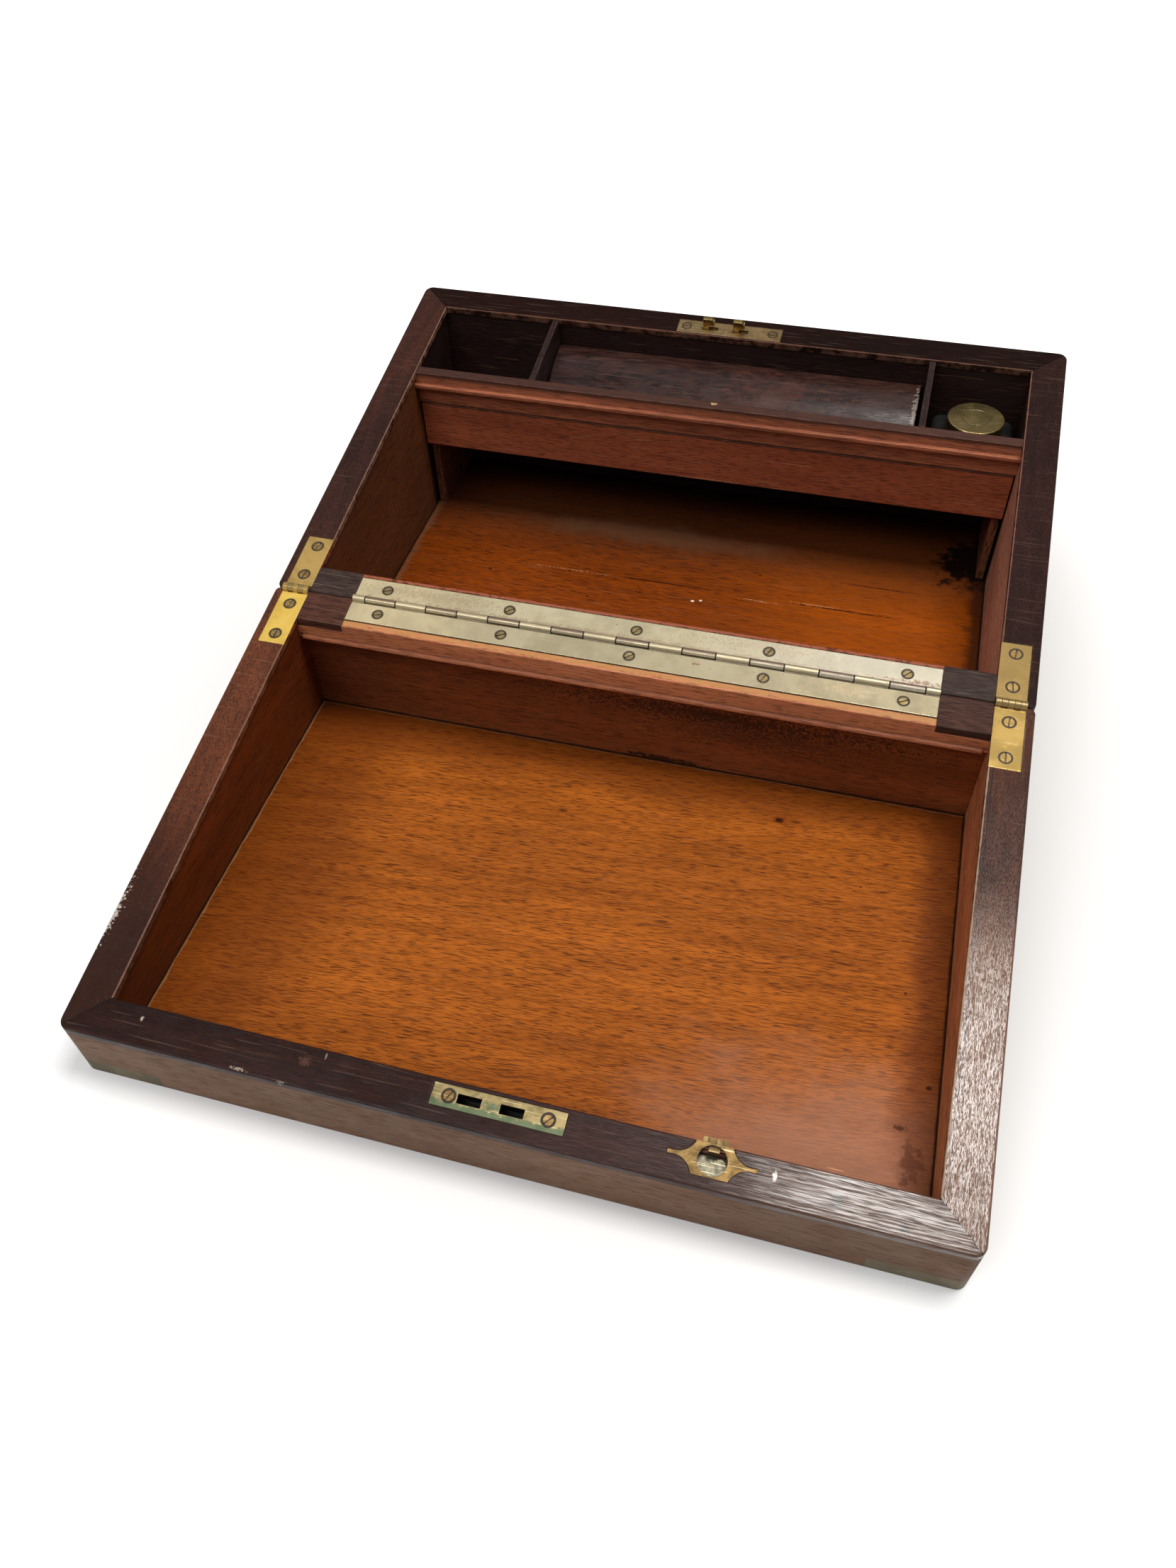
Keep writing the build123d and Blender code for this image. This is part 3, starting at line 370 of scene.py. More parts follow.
class Crevice(Effect):
    """The narrow places where dirt and polish settle, such as screw slots and gaps between knuckles."""

    title = "dirty_crevice"
    takes = {"Reach": 0.0008}
    gives = ("Mask",)

    def lay_out(self) -> None:
        """Lays out the group's nodes."""
        near = self.put("ShaderNodeAmbientOcclusion", {"Distance": self.given["Reach"]}, samples=4)
        self.hand_out(Mask=self.fade(near.outputs["AO"], 0.35, 0.85))


class Ring(Effect):
    """A thin ring round a centre, such as the dark line round a screw's head."""

    title = "thin_ring"
    takes = {"Place": None, "Centre": None, "Radius": 0.0024, "Width": 0.0003}
    gives = ("Mask",)

    def lay_out(self) -> None:
        """Lays out the group's nodes."""
        given = self.given
        off = self.size(self.less(self.vector("DISTANCE", given["Place"], given["Centre"]), given["Radius"]))
        self.hand_out(Mask=self.fade(off, self.times(given["Width"], 0.5), given["Width"]))


class Mitre(Effect):
    """The mitred corners of the rims: the fine joint line, and the strip beside it that no hand has worn."""

    title = "rim_mitre"
    takes = {"Place": None, "Corner X": 0.1582, "Corner Y": 0.2061, "Run X": 0.0168, "Run Y": 0.0159}
    gives = ("Line", "Beside")

    def lay_out(self) -> None:
        """Lays out the group's nodes."""
        given = self.given
        along, across, _ = self.split(self.vector("ABSOLUTE", given["Place"]))
        past = self.join(self.less(along, given["Corner X"]), self.less(across, given["Corner Y"]), 0.0)
        turn = self.vector("NORMALIZE", self.join(given["Run Y"], self.times(given["Run X"], -1.0), 0.0))
        off = self.size(self.vector("DOT_PRODUCT", past, turn))
        self.hand_out(Line=self.fade(off, 0.00012, 0.00035), Beside=self.fade(off, 0.0010, 0.0020))


GRAIN, WORN_EDGE, MARK, BAND, MITRE = Grain(), WornEdge(), Mark(), Band(), Mitre()
SCRATCHES, TARNISH, CREVICE, RING = Scratches(), Tarnish(), Crevice(), Ring()


# ----------------------------------------------------------------------------------------------- marks of age, painted shade and highlights


@dataclass(frozen=True)
class Patch:
    """A knot, stain, chip, dent or split at one place, in metres, or a patch of painted shade or painted
    highlight there.
    """

    centre: Triple
    spread: Triple
    colour: Tone
    share: float = 0.8
    ragged: float = 0.35
    rag_size: float = 0.004
    soft: float = 0.5
    rough: float = 0.0

    def mask(self, bench: Bench, place: Socket) -> Socket:
        """Returns the patch's mask on the bench's material."""
        return bench.effect(MARK, place=place, centre=self.centre, spread=self.spread, ragged=self.ragged,
                            rag_size=self.rag_size, soft=self.soft)["Mask"]


@dataclass(frozen=True)
class Strip:
    """A line or band across a piece at one place on one axis: a joint line, the dirt beside a wall, or a band
    of painted shade or painted highlight.
    """

    axis: Axis
    at: float
    reach: float
    colour: Tone
    share: float = 0.8
    ragged: float = 0.4
    rag_size: float = 0.006
    rough: float = 0.0

    def mask(self, bench: Bench, place: Socket) -> Socket:
        """Returns the strip's mask on the bench's material."""
        distance = bench.less(bench.split(place)[self.axis.value], self.at)
        return bench.effect(BAND, place=place, distance=distance, reach=self.reach, ragged=self.ragged,
                            rag_size=self.rag_size)["Mask"]


@dataclass(frozen=True)
class Zone:
    """The part of a piece past one place on one axis, such as the walls inside the pen bay, where it paints
    their shade.
    """

    axis: Axis
    start: float
    full: float
    colour: Tone
    share: float = 1.0
    rough: float = 0.0
    gloss: float = 0.0

    def mask(self, bench: Bench, place: Socket) -> Socket:
        """Returns the zone's mask on the bench's material."""
        change = bench.ease if self.full > self.start else bench.fade
        return change(bench.split(place)[self.axis.value], *sorted((self.start, self.full)))


@dataclass(frozen=True)
class Seat:
    """The dark line round a screw's head, on the screw and in the piece that it holds."""

    centre: Triple
    radius: float
    colour: Tone = tone(34, 24, 14)
    share: float = 0.92
    width: float = 0.00065
    rough: float = 0.2

    def mask(self, bench: Bench, place: Socket) -> Socket:
        """Returns the ring's mask on the bench's material."""
        ring = bench.effect(RING, place=place, centre=self.centre, radius=self.radius, width=self.width)
        return ring["Mask"]


@dataclass(frozen=True)
class Joints:
    """The dark gaps between a hinge's knuckles, all along its barrel."""

    first: float
    pitch: float
    barrel: float
    gap: float = 0.03
    past: float = 0.0002
    colour: Tone = tone(20, 15, 12)
    share: float = 0.95
    rough: float = 0.3

    def mask(self, bench: Bench, place: Socket) -> Socket:
        """Works out where the gaps are.

        Args:
            bench: The material's bench.
            place: The place on the piece.

        Returns:
            The gaps' mask.
        """
        along, across, _ = bench.split(place)
        steps = bench.sum_up("DIVIDE", bench.less(along, self.first), self.pitch)
        step = bench.sum_up("PINGPONG", steps, 0.5)
        near = bench.fade(bench.size(across), self.barrel, self.barrel + self.past)
        return bench.times(bench.fade(step, self.gap * 0.5, self.gap), near)


Flaw = Patch | Strip | Zone | Seat | Joints
Marks = tuple[Flaw, ...]


@dataclass(frozen=True)
class Face:
    """The height that small marks lie at, and how far up and down they reach."""

    height: float
    through: float = 0.004

    def mark(self, x: float, y: float, wide: float, deep: float, colour: Tone, *looks: float) -> Patch:
        """Returns a patch here; looks are its share, raggedness, rag size, softness and roughness."""
        return Patch((x, y, self.height), (wide, deep, self.through), colour, *looks)


BOARD, LEAF, COVER = Face(0.0095, 0.01), Face(PIN_HEIGHT), Face(0.09, 0.05)


# --------------------------------------------------------------------------------------------------- finishes


def empty_bench(holder: bpy.types.Material | bpy.types.World) -> Bench:
    """Empties the node tree of a material or a world.

    Args:
        holder: The material or world.

    Returns:
        A bench for its tree.
    """
    holder.use_nodes = True
    holder.node_tree.nodes.clear()
    return Bench(holder.node_tree)


@dataclass(frozen=True)
class Finish:
    """A finish, which makes one material and puts it on the pieces that have it."""

    name: str

    def shader(self, bench: Bench, place: Socket) -> Node:
        """Lays out the material's nodes.

        Args:
            bench: The material's bench.
            place: The place on the piece.

        Returns:
            The material's shader.
        """
        raise NotImplementedError

    def put_on(self, *nodes: str) -> None:
        """Makes the material and puts it on CAD nodes, in place of the one that they came with.

        Args:
            *nodes: The nodes' names.
        """
        material = bpy.data.materials.new(self.name)
        bench = empty_bench(material)
        surface = self.shader(bench, bench.here()).outputs[0]
        bench.put("ShaderNodeOutputMaterial", {"Surface": surface})
        for node in nodes:
            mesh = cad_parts[node].data
            mesh.materials.clear()
            mesh.materials.append(material)
            log.info("%s: %s", node, self.name)


@dataclass(frozen=True)
class WoodFinish(Finish):
    """A piece of wood: its tones, its grain, its varnish, its worn edges, the marks of its age, and any
    painted shade or highlight.
    """

    run: Run
    pale: Tone
    deep: Tone
    pore: Tone
    seed: float = 0.0
    pore_length: float = 0.005
    pore_width: float = 0.0005
    pore_cover: float = 0.5
    pore_share: float = 0.7
    figure_length: float = 0.12
    figure_width: float = 0.012
    figure_twist: float = 0.4
    figure_share: float = 0.7
    cloud_share: float = 0.4
    fibre_share: float = 0.35
    waver: float = 0.002
    slant: float = 0.0
    rough: tuple[float, float] = (0.36, 0.52)
    pore_rough: float = 0.12
    sheen: float = 0.25
    varnish_rough: float = 0.2
    relief: float = 0.00006
    edge: Tone | None = None
    edge_share: float = 0.6
    edge_radius: float = 0.0012
    edge_breaks: float = 0.8
    edge_break_size: float = 0.009
    scratch_share: float = 0.25
    scratch_spacing: float = 0.009
    scratch_amount: float = 0.45
    scratch: Tone = (0.35, 0.24, 0.16, 1.0)
    mitred: bool = False
    mitre_share: float = 0.85
    marks: Marks = ()

    def laid(self, bench: Bench, place: Socket) -> Socket:
        """Turns the place so that the grain runs along X.

        Args:
            bench: The material's bench.
            place: The place on the piece.

        Returns:
            The turned place.
        """
        if self.slant:
            turn = {"Vector": place, "Rotation": (0.0, 0.0, -radians(self.slant))}
            return bench.put("ShaderNodeMapping", turn).outputs[0]
        if self.run is Run.ALONG_X:
            return place
        x, y, z = bench.split(place)
        if self.run is Run.ALONG_Z:
            return bench.join(z, y, x)
        crossed = bench.join(y, x, z)
        if self.run is Run.ALONG_Y:
            return crossed
        facing = bench.split(bench.put("ShaderNodeTexCoord").outputs["Normal"])[0]
        inputs = {0: bench.ease(bench.size(facing), 0.6, 0.8), 4: place, 5: crossed}
        return bench.put("ShaderNodeMix", inputs, data_type="VECTOR").outputs[1]

    def shader(self, bench: Bench, place: Socket) -> Node:
        """Lays out the wood's nodes.

        Args:
            bench: The material's bench.
            place: The place on the piece.

        Returns:
            The wood's shader.
        """
        grain = bench.effect(
            GRAIN, place=self.laid(bench, place), seed=self.seed, pore_length=self.pore_length,
            pore_width=self.pore_width, pore_cover=self.pore_cover, figure_length=self.figure_length,
            figure_width=self.figure_width, figure_twist=self.figure_twist, waver=self.waver)
        shares = {"Figure": self.figure_share, "Clouds": self.cloud_share, "Fibres": self.fibre_share}
        figure, clouds, fibres = (bench.times(grain[name], share) for name, share in shares.items())
        depth = bench.plus(bench.plus(figure, clouds), fibres)
        depth = bench.sum_up("DIVIDE", depth, sum(shares.values()), clamp=True)
        colour = bench.blend(depth, self.pale, self.deep)
        colour = bench.blend(bench.times(grain["Pores"], self.pore_share), colour, self.pore)
        scratches = bench.effect(
            SCRATCHES, place=place, spacing=self.scratch_spacing, amount=self.scratch_amount)
        scored = bench.times(scratches["Lines"], self.scratch_share)
        colour = bench.blend(scored, colour, self.scratch)
        rough = bench.ease(scratches["Bloom"], 0.0, 1.0, *self.rough)
        rough = bench.plus(rough, bench.times(grain["Pores"], self.pore_rough))
        varnish: Feed = 0.0
        for mark in self.marks:
            mask = mark.mask(bench, place)
            colour = bench.blend(bench.times(mask, mark.share), colour, mark.colour)
            rough = bench.sum_up("MULTIPLY_ADD", mask, mark.rough, rough)
            if isinstance(mark, Zone) and mark.gloss:
                streaks = bench.times(bench.ease(grain["Fibres"], 0.36, 0.6), bench.less(1.0, grain["Pores"]))
                varnish = bench.times(bench.times(mask, mark.gloss), streaks)
        edges = bench.effect(WORN_EDGE, place=place, radius=self.edge_radius, breaks=self.edge_breaks,
                             break_size=self.edge_break_size)
        worn, rounded = edges["Mask"], edges["Normal"]
        if self.mitred:
            mitre = bench.effect(MITRE, place=place)
            worn = bench.less(worn, mitre["Beside"], clamp=True)
            back = bench.scaled(bench.vector("SUBTRACT", bench.flat(), rounded), mitre["Beside"])
            rounded = bench.vector("ADD", rounded, back)
            colour = bench.blend(bench.times(mitre["Line"], self.mitre_share), colour, self.pore)
        if self.edge:
            colour = bench.blend(bench.times(worn, self.edge_share), colour, self.edge)
        height = bench.less(bench.times(grain["Fibres"], 0.45), grain["Pores"])
        height = bench.less(height, bench.times(scored, 0.8))
        return bench.put("ShaderNodeBsdfPrincipled", {
            "Base Color": colour, "Roughness": bench.plus(rough, 0.0, clamp=True),
            "Specular IOR Level": self.sheen, "Coat Weight": varnish, "Coat Roughness": self.varnish_rough,
            "Normal": bench.bump(height, self.relief, rounded)})


@dataclass(frozen=True)
class MetalFinish(Finish):
    """A piece of old brass: its clean and its tarnished tone, its pits, scratches and rubbed edges."""

    clean: Tone
    dull: Tone
    pit: Tone = tone(58, 40, 22)
    rubbed: Tone = tone(250, 232, 190)
    rough: tuple[float, float] = (0.22, 0.45)
    patch_size: float = 0.006
    patch_share: float = 0.7
    pit_size: float = 0.0008
    pit_share: float = 0.3
    pit_strength: float = 0.7
    pit_rough: float = 0.25
    scratch_spacing: float = 0.005
    scratch_amount: float = 0.55
    scratch_share: float = 0.35
    edge_radius: float = 0.0004
    edge_share: float = 0.7
    edge_breaks: float = 0.4
    edge_break_size: float = 0.004
    relief: float = 0.000004
    crevice_reach: float = 0.0012
    crevice_share: float = 0.95
    metal: float = 1.0
    marks: Marks = ()

    def shader(self, bench: Bench, place: Socket) -> Node:
        """Lays out the metal's nodes.

        Args:
            bench: The material's bench.
            place: The place on the piece.

        Returns:
            The metal's shader.
        """
        tarnish = bench.effect(TARNISH, place=place, patch_size=self.patch_size, pit_size=self.pit_size,
                               pit_share=self.pit_share)
        scratches = bench.effect(
            SCRATCHES, place=place, spacing=self.scratch_spacing, amount=self.scratch_amount)
        edges = bench.effect(WORN_EDGE, place=place, radius=self.edge_radius, breaks=self.edge_breaks,
                             break_size=self.edge_break_size)
        colour = bench.blend(bench.times(tarnish["Patches"], self.patch_share), self.clean, self.dull)
        colour = bench.blend(bench.times(scratches["Lines"], self.scratch_share), colour, self.rubbed)
        colour = bench.blend(bench.times(edges["Mask"], self.edge_share), colour, self.rubbed)
        pits = bench.times(tarnish["Pits"], self.pit_strength)
        colour = bench.blend(pits, colour, self.pit)
        worn = bench.sum_up("MULTIPLY_ADD", scratches["Bloom"], 0.5, bench.times(tarnish["Patches"], 0.5))
        rough = bench.ease(worn, 0.0, 1.0, *self.rough)
        rough = bench.plus(rough, bench.times(tarnish["Pits"], self.pit_rough))
        grime = bench.times(bench.effect(CREVICE, reach=self.crevice_reach)["Mask"], self.crevice_share)
        colour = bench.blend(grime, colour, self.pit)
        metal = bench.less(self.metal, bench.times(bench.over(pits, grime), 0.9), clamp=True)
        for mark in self.marks:
            mask = mark.mask(bench, place)
            shown = bench.times(mask, mark.share)
            colour = bench.blend(shown, colour, mark.colour)
            if not isinstance(mark, Zone):
                metal = bench.less(metal, bench.times(shown, 0.75), clamp=True)
            rough = bench.sum_up("MULTIPLY_ADD", mask, mark.rough, rough)
        marred = bench.plus(tarnish["Pits"], scratches["Lines"])
        height = bench.less(bench.times(tarnish["Patches"], 0.3), marred)
        return bench.put("ShaderNodeBsdfPrincipled", {
            "Base Color": colour, "Metallic": metal, "Roughness": bench.plus(rough, 0.0, clamp=True),
            "Normal": bench.bump(height, self.relief, edges["Normal"])})


@dataclass(frozen=True)
class GlassFinish(Finish):
    """The ink bottle's dark pressed glass, with dust and dried ink on it."""

    body: Tone = tone(26, 30, 30)
    dust: Tone = tone(70, 64, 58)
    clear: float = 0.25
    ripple_scale: float = 90.0
    ripple_depth: float = 0.0004

    def shader(self, bench: Bench, place: Socket) -> Node:
        """Lays out the glass's nodes.

        Args:
            bench: The material's bench.
            place: The place on the piece.

        Returns:
            The glass's shader.
        """
        edges = bench.effect(WORN_EDGE, place=place, radius=0.0015, breaks=0.5, break_size=0.005)
        tarnish = bench.effect(TARNISH, place=place, patch_size=0.009, pit_size=0.0012, pit_share=0.4)
        specks = bench.times(tarnish["Pits"], 0.4)
        dusty = bench.sum_up("MULTIPLY_ADD", tarnish["Patches"], 0.35, specks, clamp=True)
        ripple = bench.noise(place, self.ripple_scale, 2.0)
        return bench.put("ShaderNodeBsdfPrincipled", {
            "Base Color": bench.blend(dusty, self.body, self.dust), "Transmission Weight": self.clear,
            "Roughness": bench.ease(dusty, 0.0, 0.7, 0.07, 0.5), "IOR": 1.5,
            "Normal": bench.bump(ripple, self.ripple_depth, edges["Normal"])})


# --------------------------------------------------------------------------------------------- sub-assemblies


ROSEWOOD = WoodFinish(
    "rosewood", Run.ALONG_Y, tone(58, 31, 25), tone(25, 13, 11), tone(14, 6, 5), pore_length=0.0075,
    pore_width=0.00024, pore_cover=0.49, figure_length=0.1, figure_width=0.0038, figure_share=0.6,
    cloud_share=0.6, fibre_share=0.5, waver=0.003, rough=(0.26, 0.38), sheen=0.2, relief=0.00005,
    edge=tone(132, 92, 72), edge_share=0.45, edge_radius=0.0009, scratch_share=0.12,
    scratch=tone(150, 120, 100), mitred=True)


@dataclass
class Half:
    """What the two halves share: where their walls and rims meet the inside, and the wood of their walls."""

    inner_x: float = 0.1592
    lip_x: float = 0.1582
    lip_y: float = 0.2061
    lip_step: float = 0.0003

    def dress_walls(self, half: str, *walls: tuple[str, Run, Tone, Tone, float, Marks]) -> None:
        """Gives one half's walls their finishes.

        Args:
            half: The half's name.
            *walls: For each wall its side, the way its grain runs, its paler and its deeper tone, a number
                that tells its grain from the others', and the marks on it.
        """
        foot = Strip(Axis.Z, BOARD.height, 0.0012, tone(30, 14, 8), 0.85)
        for side, run, pale, deep, seed, marks in walls:
            WoodFinish(
                f"{half}_{side}_wall_wood", run, pale, deep, tone(40, 17, 8), seed=seed, pore_length=0.007,
                pore_width=0.0006, pore_cover=0.47, pore_share=0.45, figure_length=0.2, figure_width=0.014,
                cloud_share=0.6, fibre_share=0.4, rough=(0.42, 0.6), sheen=0.2, scratch_share=0.3,
                scratch=tone(130, 86, 60), marks=marks + (foot,),
            ).put_on(f"{half}_hinge_wall" if side == "hinge" else f"{half}_wall_{side}")


@dataclass
class LidHalf(Half):
    """The lid half, open and upside down: its board, walls, rims, veneers and corner brasses."""

    front_y: float = -0.2071
    hinge_y: float = -0.0117
    lip_width: float = 0.0021
    # Painted shade: a near-black patch on the front rim and the front wall, for the shade inside the strike
    # slot.
    strike_slot_shade: Patch = Patch(
        (0.0018, -0.2121, 0.0285), (0.026, 0.0052, 0.0062), tone(5, 3, 3), 1.0, 0.02, 0.004, 0.15)

    def dress_board(self) -> None:
        """Gives the lid's inside board its varnished orange mahogany, with a painted sheen near the front
        right corner and painted shade beside the left wall and the hinge wall.
        """
        dirt, dust, knot = tone(44, 22, 12), tone(168, 128, 92), tone(46, 18, 8)
        spots = (
            (0.0776, -0.0345, 0.0052, 0.0030, tone(90, 34, 9), 0.7, 0.3, 0.002, 0.8),
            (0.0776, -0.0345, 0.0023, 0.0016, knot, 0.95, 0.5, 0.0008),
            (0.118, -0.063, 0.0009, 0.0006, knot, 0.8, 0.3, 0.0008),
            (0.142, -0.112, 0.0008, 0.0008, knot, 0.8, 0.3, 0.0008),
            (0.1546, -0.152, 0.0018, 0.0010, knot, 0.9, 0.4, 0.001),
            (0.1455, -0.171, 0.0030, 0.0016, knot, 0.75, 0.9, 0.0012, 0.6),
            (0.1510, -0.184, 0.0060, 0.0100, tone(84, 44, 26), 0.7, 1.0, 0.003, 0.7),
            (0.1240, -0.193, 0.0045, 0.0004, tone(206, 152, 110), 0.7, 0.3, 0.002, 0.6))
        WoodFinish(
            "lid_board_mahogany", Run.ALONG_X, tone(184, 101, 32), tone(116, 57, 14), tone(58, 25, 9),
            seed=0.3, pore_length=0.0064, pore_width=0.00027, pore_cover=0.475, pore_share=0.78, slant=5.0,
            figure_length=0.10, figure_width=0.006, figure_share=0.42, cloud_share=0.3, fibre_share=0.6,
            waver=0.006, rough=(0.3, 0.4), sheen=0.06, relief=0.00003, scratch_share=0.08,
            marks=(
                # Painted sheen: this first patch, pale and greyish near the front right corner, stands for the
                # varnish's haze of reflected light.
                BOARD.mark(0.125, -0.192, 0.105, 0.060, tone(158, 112, 90), 0.72, 0.25, 0.02, 0.95, -0.05),
                Strip(Axis.X, self.inner_x, 0.024, tone(84, 38, 20), 0.6, 0.3, 0.02),
                # Painted shade: the next two strips darken the board broadly beside the left wall and beside
                # the hinge wall.
                Strip(Axis.X, -self.inner_x, 0.075, tone(84, 34, 5), 0.6, 0.12, 0.04),
                Strip(Axis.Y, self.hinge_y, 0.032, tone(84, 34, 6), 0.5, 0.15, 0.03),
                Strip(Axis.X, -self.inner_x, 0.0016, dust, 0.5, 0.5),
                Strip(Axis.X, -self.inner_x, 0.0008, dirt, 0.9),
                Strip(Axis.X, self.inner_x, 0.0014, dirt, 0.9),
                Strip(Axis.Y, self.hinge_y, 0.0015, dust, 0.35, 0.5),
                Strip(Axis.Y, self.hinge_y, 0.0010, dirt, 0.95),
                Strip(Axis.Y, self.front_y, 0.0014, dirt, 0.8),
                *(BOARD.mark(*spot) for spot in spots))).put_on("lid_top_board")

    def stain(self, x: float, z: float, wide: float, high: float, colour: Tone, *looks: float) -> Patch:
        """Returns a patch on the hinge wall's inside face, with looks as in Face.mark: a stain, or the band of
        painted shade under the hinge rail.
        """
        return Patch((x, self.hinge_y, z), (wide, BOARD.through, high), colour, *looks)

    def dress_rims(self) -> None:
        """Gives the three rim members their finishes."""
        line, chip, fleck = tone(20, 11, 10), tone(26, 18, 16), tone(206, 188, 172)
        # Painted highlight: the right rim's pale edges, its pale zone towards the front and the pale strip on
        # its inner lip stand for the lamp's glints; the zone's gloss is real varnish, and the edges are also
        # wear.
        replace(
            ROSEWOOD, name="lid_right_rim_rosewood", pale=tone(98, 54, 34), deep=tone(38, 19, 14), seed=6.1,
            edge=tone(196, 164, 142), edge_share=0.7,
            marks=(
                Zone(Axis.Y, -0.08, -0.125, tone(150, 108, 80), 0.35, -0.06, 0.75),
                Strip(Axis.X, self.lip_x + self.lip_step, 0.0004, tone(212, 186, 162), 0.45, 0.7),
                Strip(Axis.X, self.lip_x + self.lip_width, 0.0003, line, 0.85, 0.2, 0.004),
                Face(0.0339).mark(0.147, -0.2188, 0.003, 0.002, tone(24, 16, 14), 0.6, 0.8, 0.002, 0.7),
            )).put_on("lid_rim_right")
        replace(
            ROSEWOOD, name="lid_left_rim_rosewood", pale=tone(120, 64, 36), deep=tone(52, 24, 16), seed=7.7,
            marks=(
                Zone(Axis.Y, -0.09, -0.19, tone(34, 16, 12), 0.85),
                Strip(Axis.X, -self.lip_x - self.lip_step, 0.0004, tone(150, 106, 84), 0.5, 0.5),
                Face(0.0420).mark(-0.1747, -0.170, 0.0016, 0.013, tone(206, 194, 182), 0.7, 2.2, 0.0012, 0.4),
            )).put_on("lid_rim_left")
        nicks = (
            (-0.0980, -0.2208, 0.0337, 0.0026, 0.0006, fleck, 0.45, 2.0, 0.0006, 0.3),
            (-0.0804, -0.2216, 0.0335, 0.0014, 0.0004, fleck, 0.35, 1.8, 0.0006, 0.3),
            (-0.0741, -0.2123, 0.0351, 0.0030, 0.0022, tone(92, 60, 50), 0.6, 0.8, 0.001, 0.6),
            (-0.0669, -0.2086, 0.0357, 0.0004, 0.0016, fleck, 0.35, 0.3, 0.001, 0.6),
            (-0.1430, -0.2113, 0.0352, 0.0006, 0.0010, fleck, 0.7, 1.0, 0.0005, 0.4),
            (0.1027, -0.2121, 0.0351, 0.0009, 0.0020, tone(226, 214, 206), 0.95, 0.4, 0.001, 0.4),
            (0.0985, -0.2112, 0.0351, 0.0007, 0.0016, tone(30, 20, 18), 0.7, 0.4, 0.001),
            (0.1250, -0.2148, 0.0346, 0.0032, 0.0030, chip, 0.75, 0.9, 0.0014, 0.6),
            (0.1470, -0.2188, 0.0339, 0.0032, 0.0018, chip, 0.7, 0.9, 0.0014, 0.6))
        replace(
            ROSEWOOD, name="lid_front_rim_rosewood", run=Run.ALONG_X, pale=tone(58, 27, 19),
            deep=tone(22, 10, 8), seed=8.9, edge=tone(50, 32, 26), edge_share=0.6,
            marks=(
                self.strike_slot_shade,
                # Painted highlight and sheen: these two zones lighten the rim where the lamp glints towards
                # the right end and where a grey sheen lies in the middle; the first also adds real gloss.
                Zone(Axis.X, 0.07, 0.125, tone(140, 104, 76), 0.25, -0.06, 1.0),
                Zone(Axis.X, -0.03, 0.06, tone(72, 48, 44), 0.2),
                Strip(Axis.Y, -self.lip_y - self.lip_width, 0.0003, line, 0.6, 0.2, 0.004),
                *(Face(z).mark(x, y, *rest) for x, y, z, *rest in nicks))).put_on("lid_rim_front")

    def dress(self) -> None:
        """Gives every piece of the lid half its finish."""
        self.dress_board()
        near = Zone(Axis.Y, -0.11, -0.20, tone(46, 20, 8), 0.45)
        stains_and_shade = (
            Zone(Axis.X, -0.07, -0.155, tone(34, 12, 4), 0.4),
            self.stain(0.0165, 0.0112, 0.022, 0.0021, tone(20, 10, 7), 0.8, 0.9, 0.003),
            self.stain(0.045, 0.0460, 0.090, 0.0070, tone(34, 18, 13), 0.8, 1.4, 0.0012, 0.8),
            self.stain(0.060, 0.0360, 0.060, 0.0100, tone(38, 19, 13), 0.5, 1.5, 0.0013, 0.9),
            # Painted shade: this dark band lies just under the hinge rail's overhang.
            self.stain(0.060, 0.0565, 0.075, 0.0022, tone(24, 12, 9), 0.85, 0.8, 0.003))
        # Painted light: the right wall's tones are a lit copy of the left wall's wood, painted far paler for
        # the light falling on it.
        self.dress_walls(
            "lid", ("left", Run.ALONG_Y, tone(126, 58, 18), tone(80, 34, 10), 2.1, (near,)),
            ("right", Run.ALONG_Y, tone(214, 138, 92), tone(162, 94, 60), 3.3, ()),
            ("front", Run.ALONG_X, tone(104, 58, 32), tone(74, 38, 20), 4.7, (self.strike_slot_shade,)),
            ("hinge", Run.ALONG_X, tone(144, 76, 38), tone(82, 36, 16), 5.9, stains_and_shade))
        self.dress_rims()
        walnut = WoodFinish(
            "lid_side_walnut", Run.ROUND_BOX, tone(131, 99, 77), tone(104, 76, 57), tone(70, 48, 36),
            seed=9.2, pore_length=0.007, pore_width=0.0006, pore_cover=0.45, pore_share=0.45,
            figure_length=0.09, figure_twist=1.2, figure_share=0.8, cloud_share=0.7, rough=(0.42, 0.56),
            sheen=0.08, edge=tone(48, 30, 22), edge_share=0.7, edge_radius=0.0004, scratch_share=0.2,
            scratch=tone(60, 42, 32), marks=(Zone(Axis.X, 0.03, 0.14, tone(82, 58, 44), 0.3),))
        walnut.put_on("lid_outer_veneer")
        replace(walnut, name="lid_top_walnut", run=Run.ALONG_X, seed=10.4, figure_width=0.03,
                figure_length=0.2).put_on("lid_top_veneer")
        MetalFinish(
            "corner_brass", tone(100, 88, 60), tone(78, 68, 48), tone(50, 42, 30), tone(128, 112, 76),
            rough=(0.5, 0.65), patch_size=0.014, patch_share=0.6, pit_strength=0.4, metal=0.3,
        ).put_on("lid_corner_brasses")


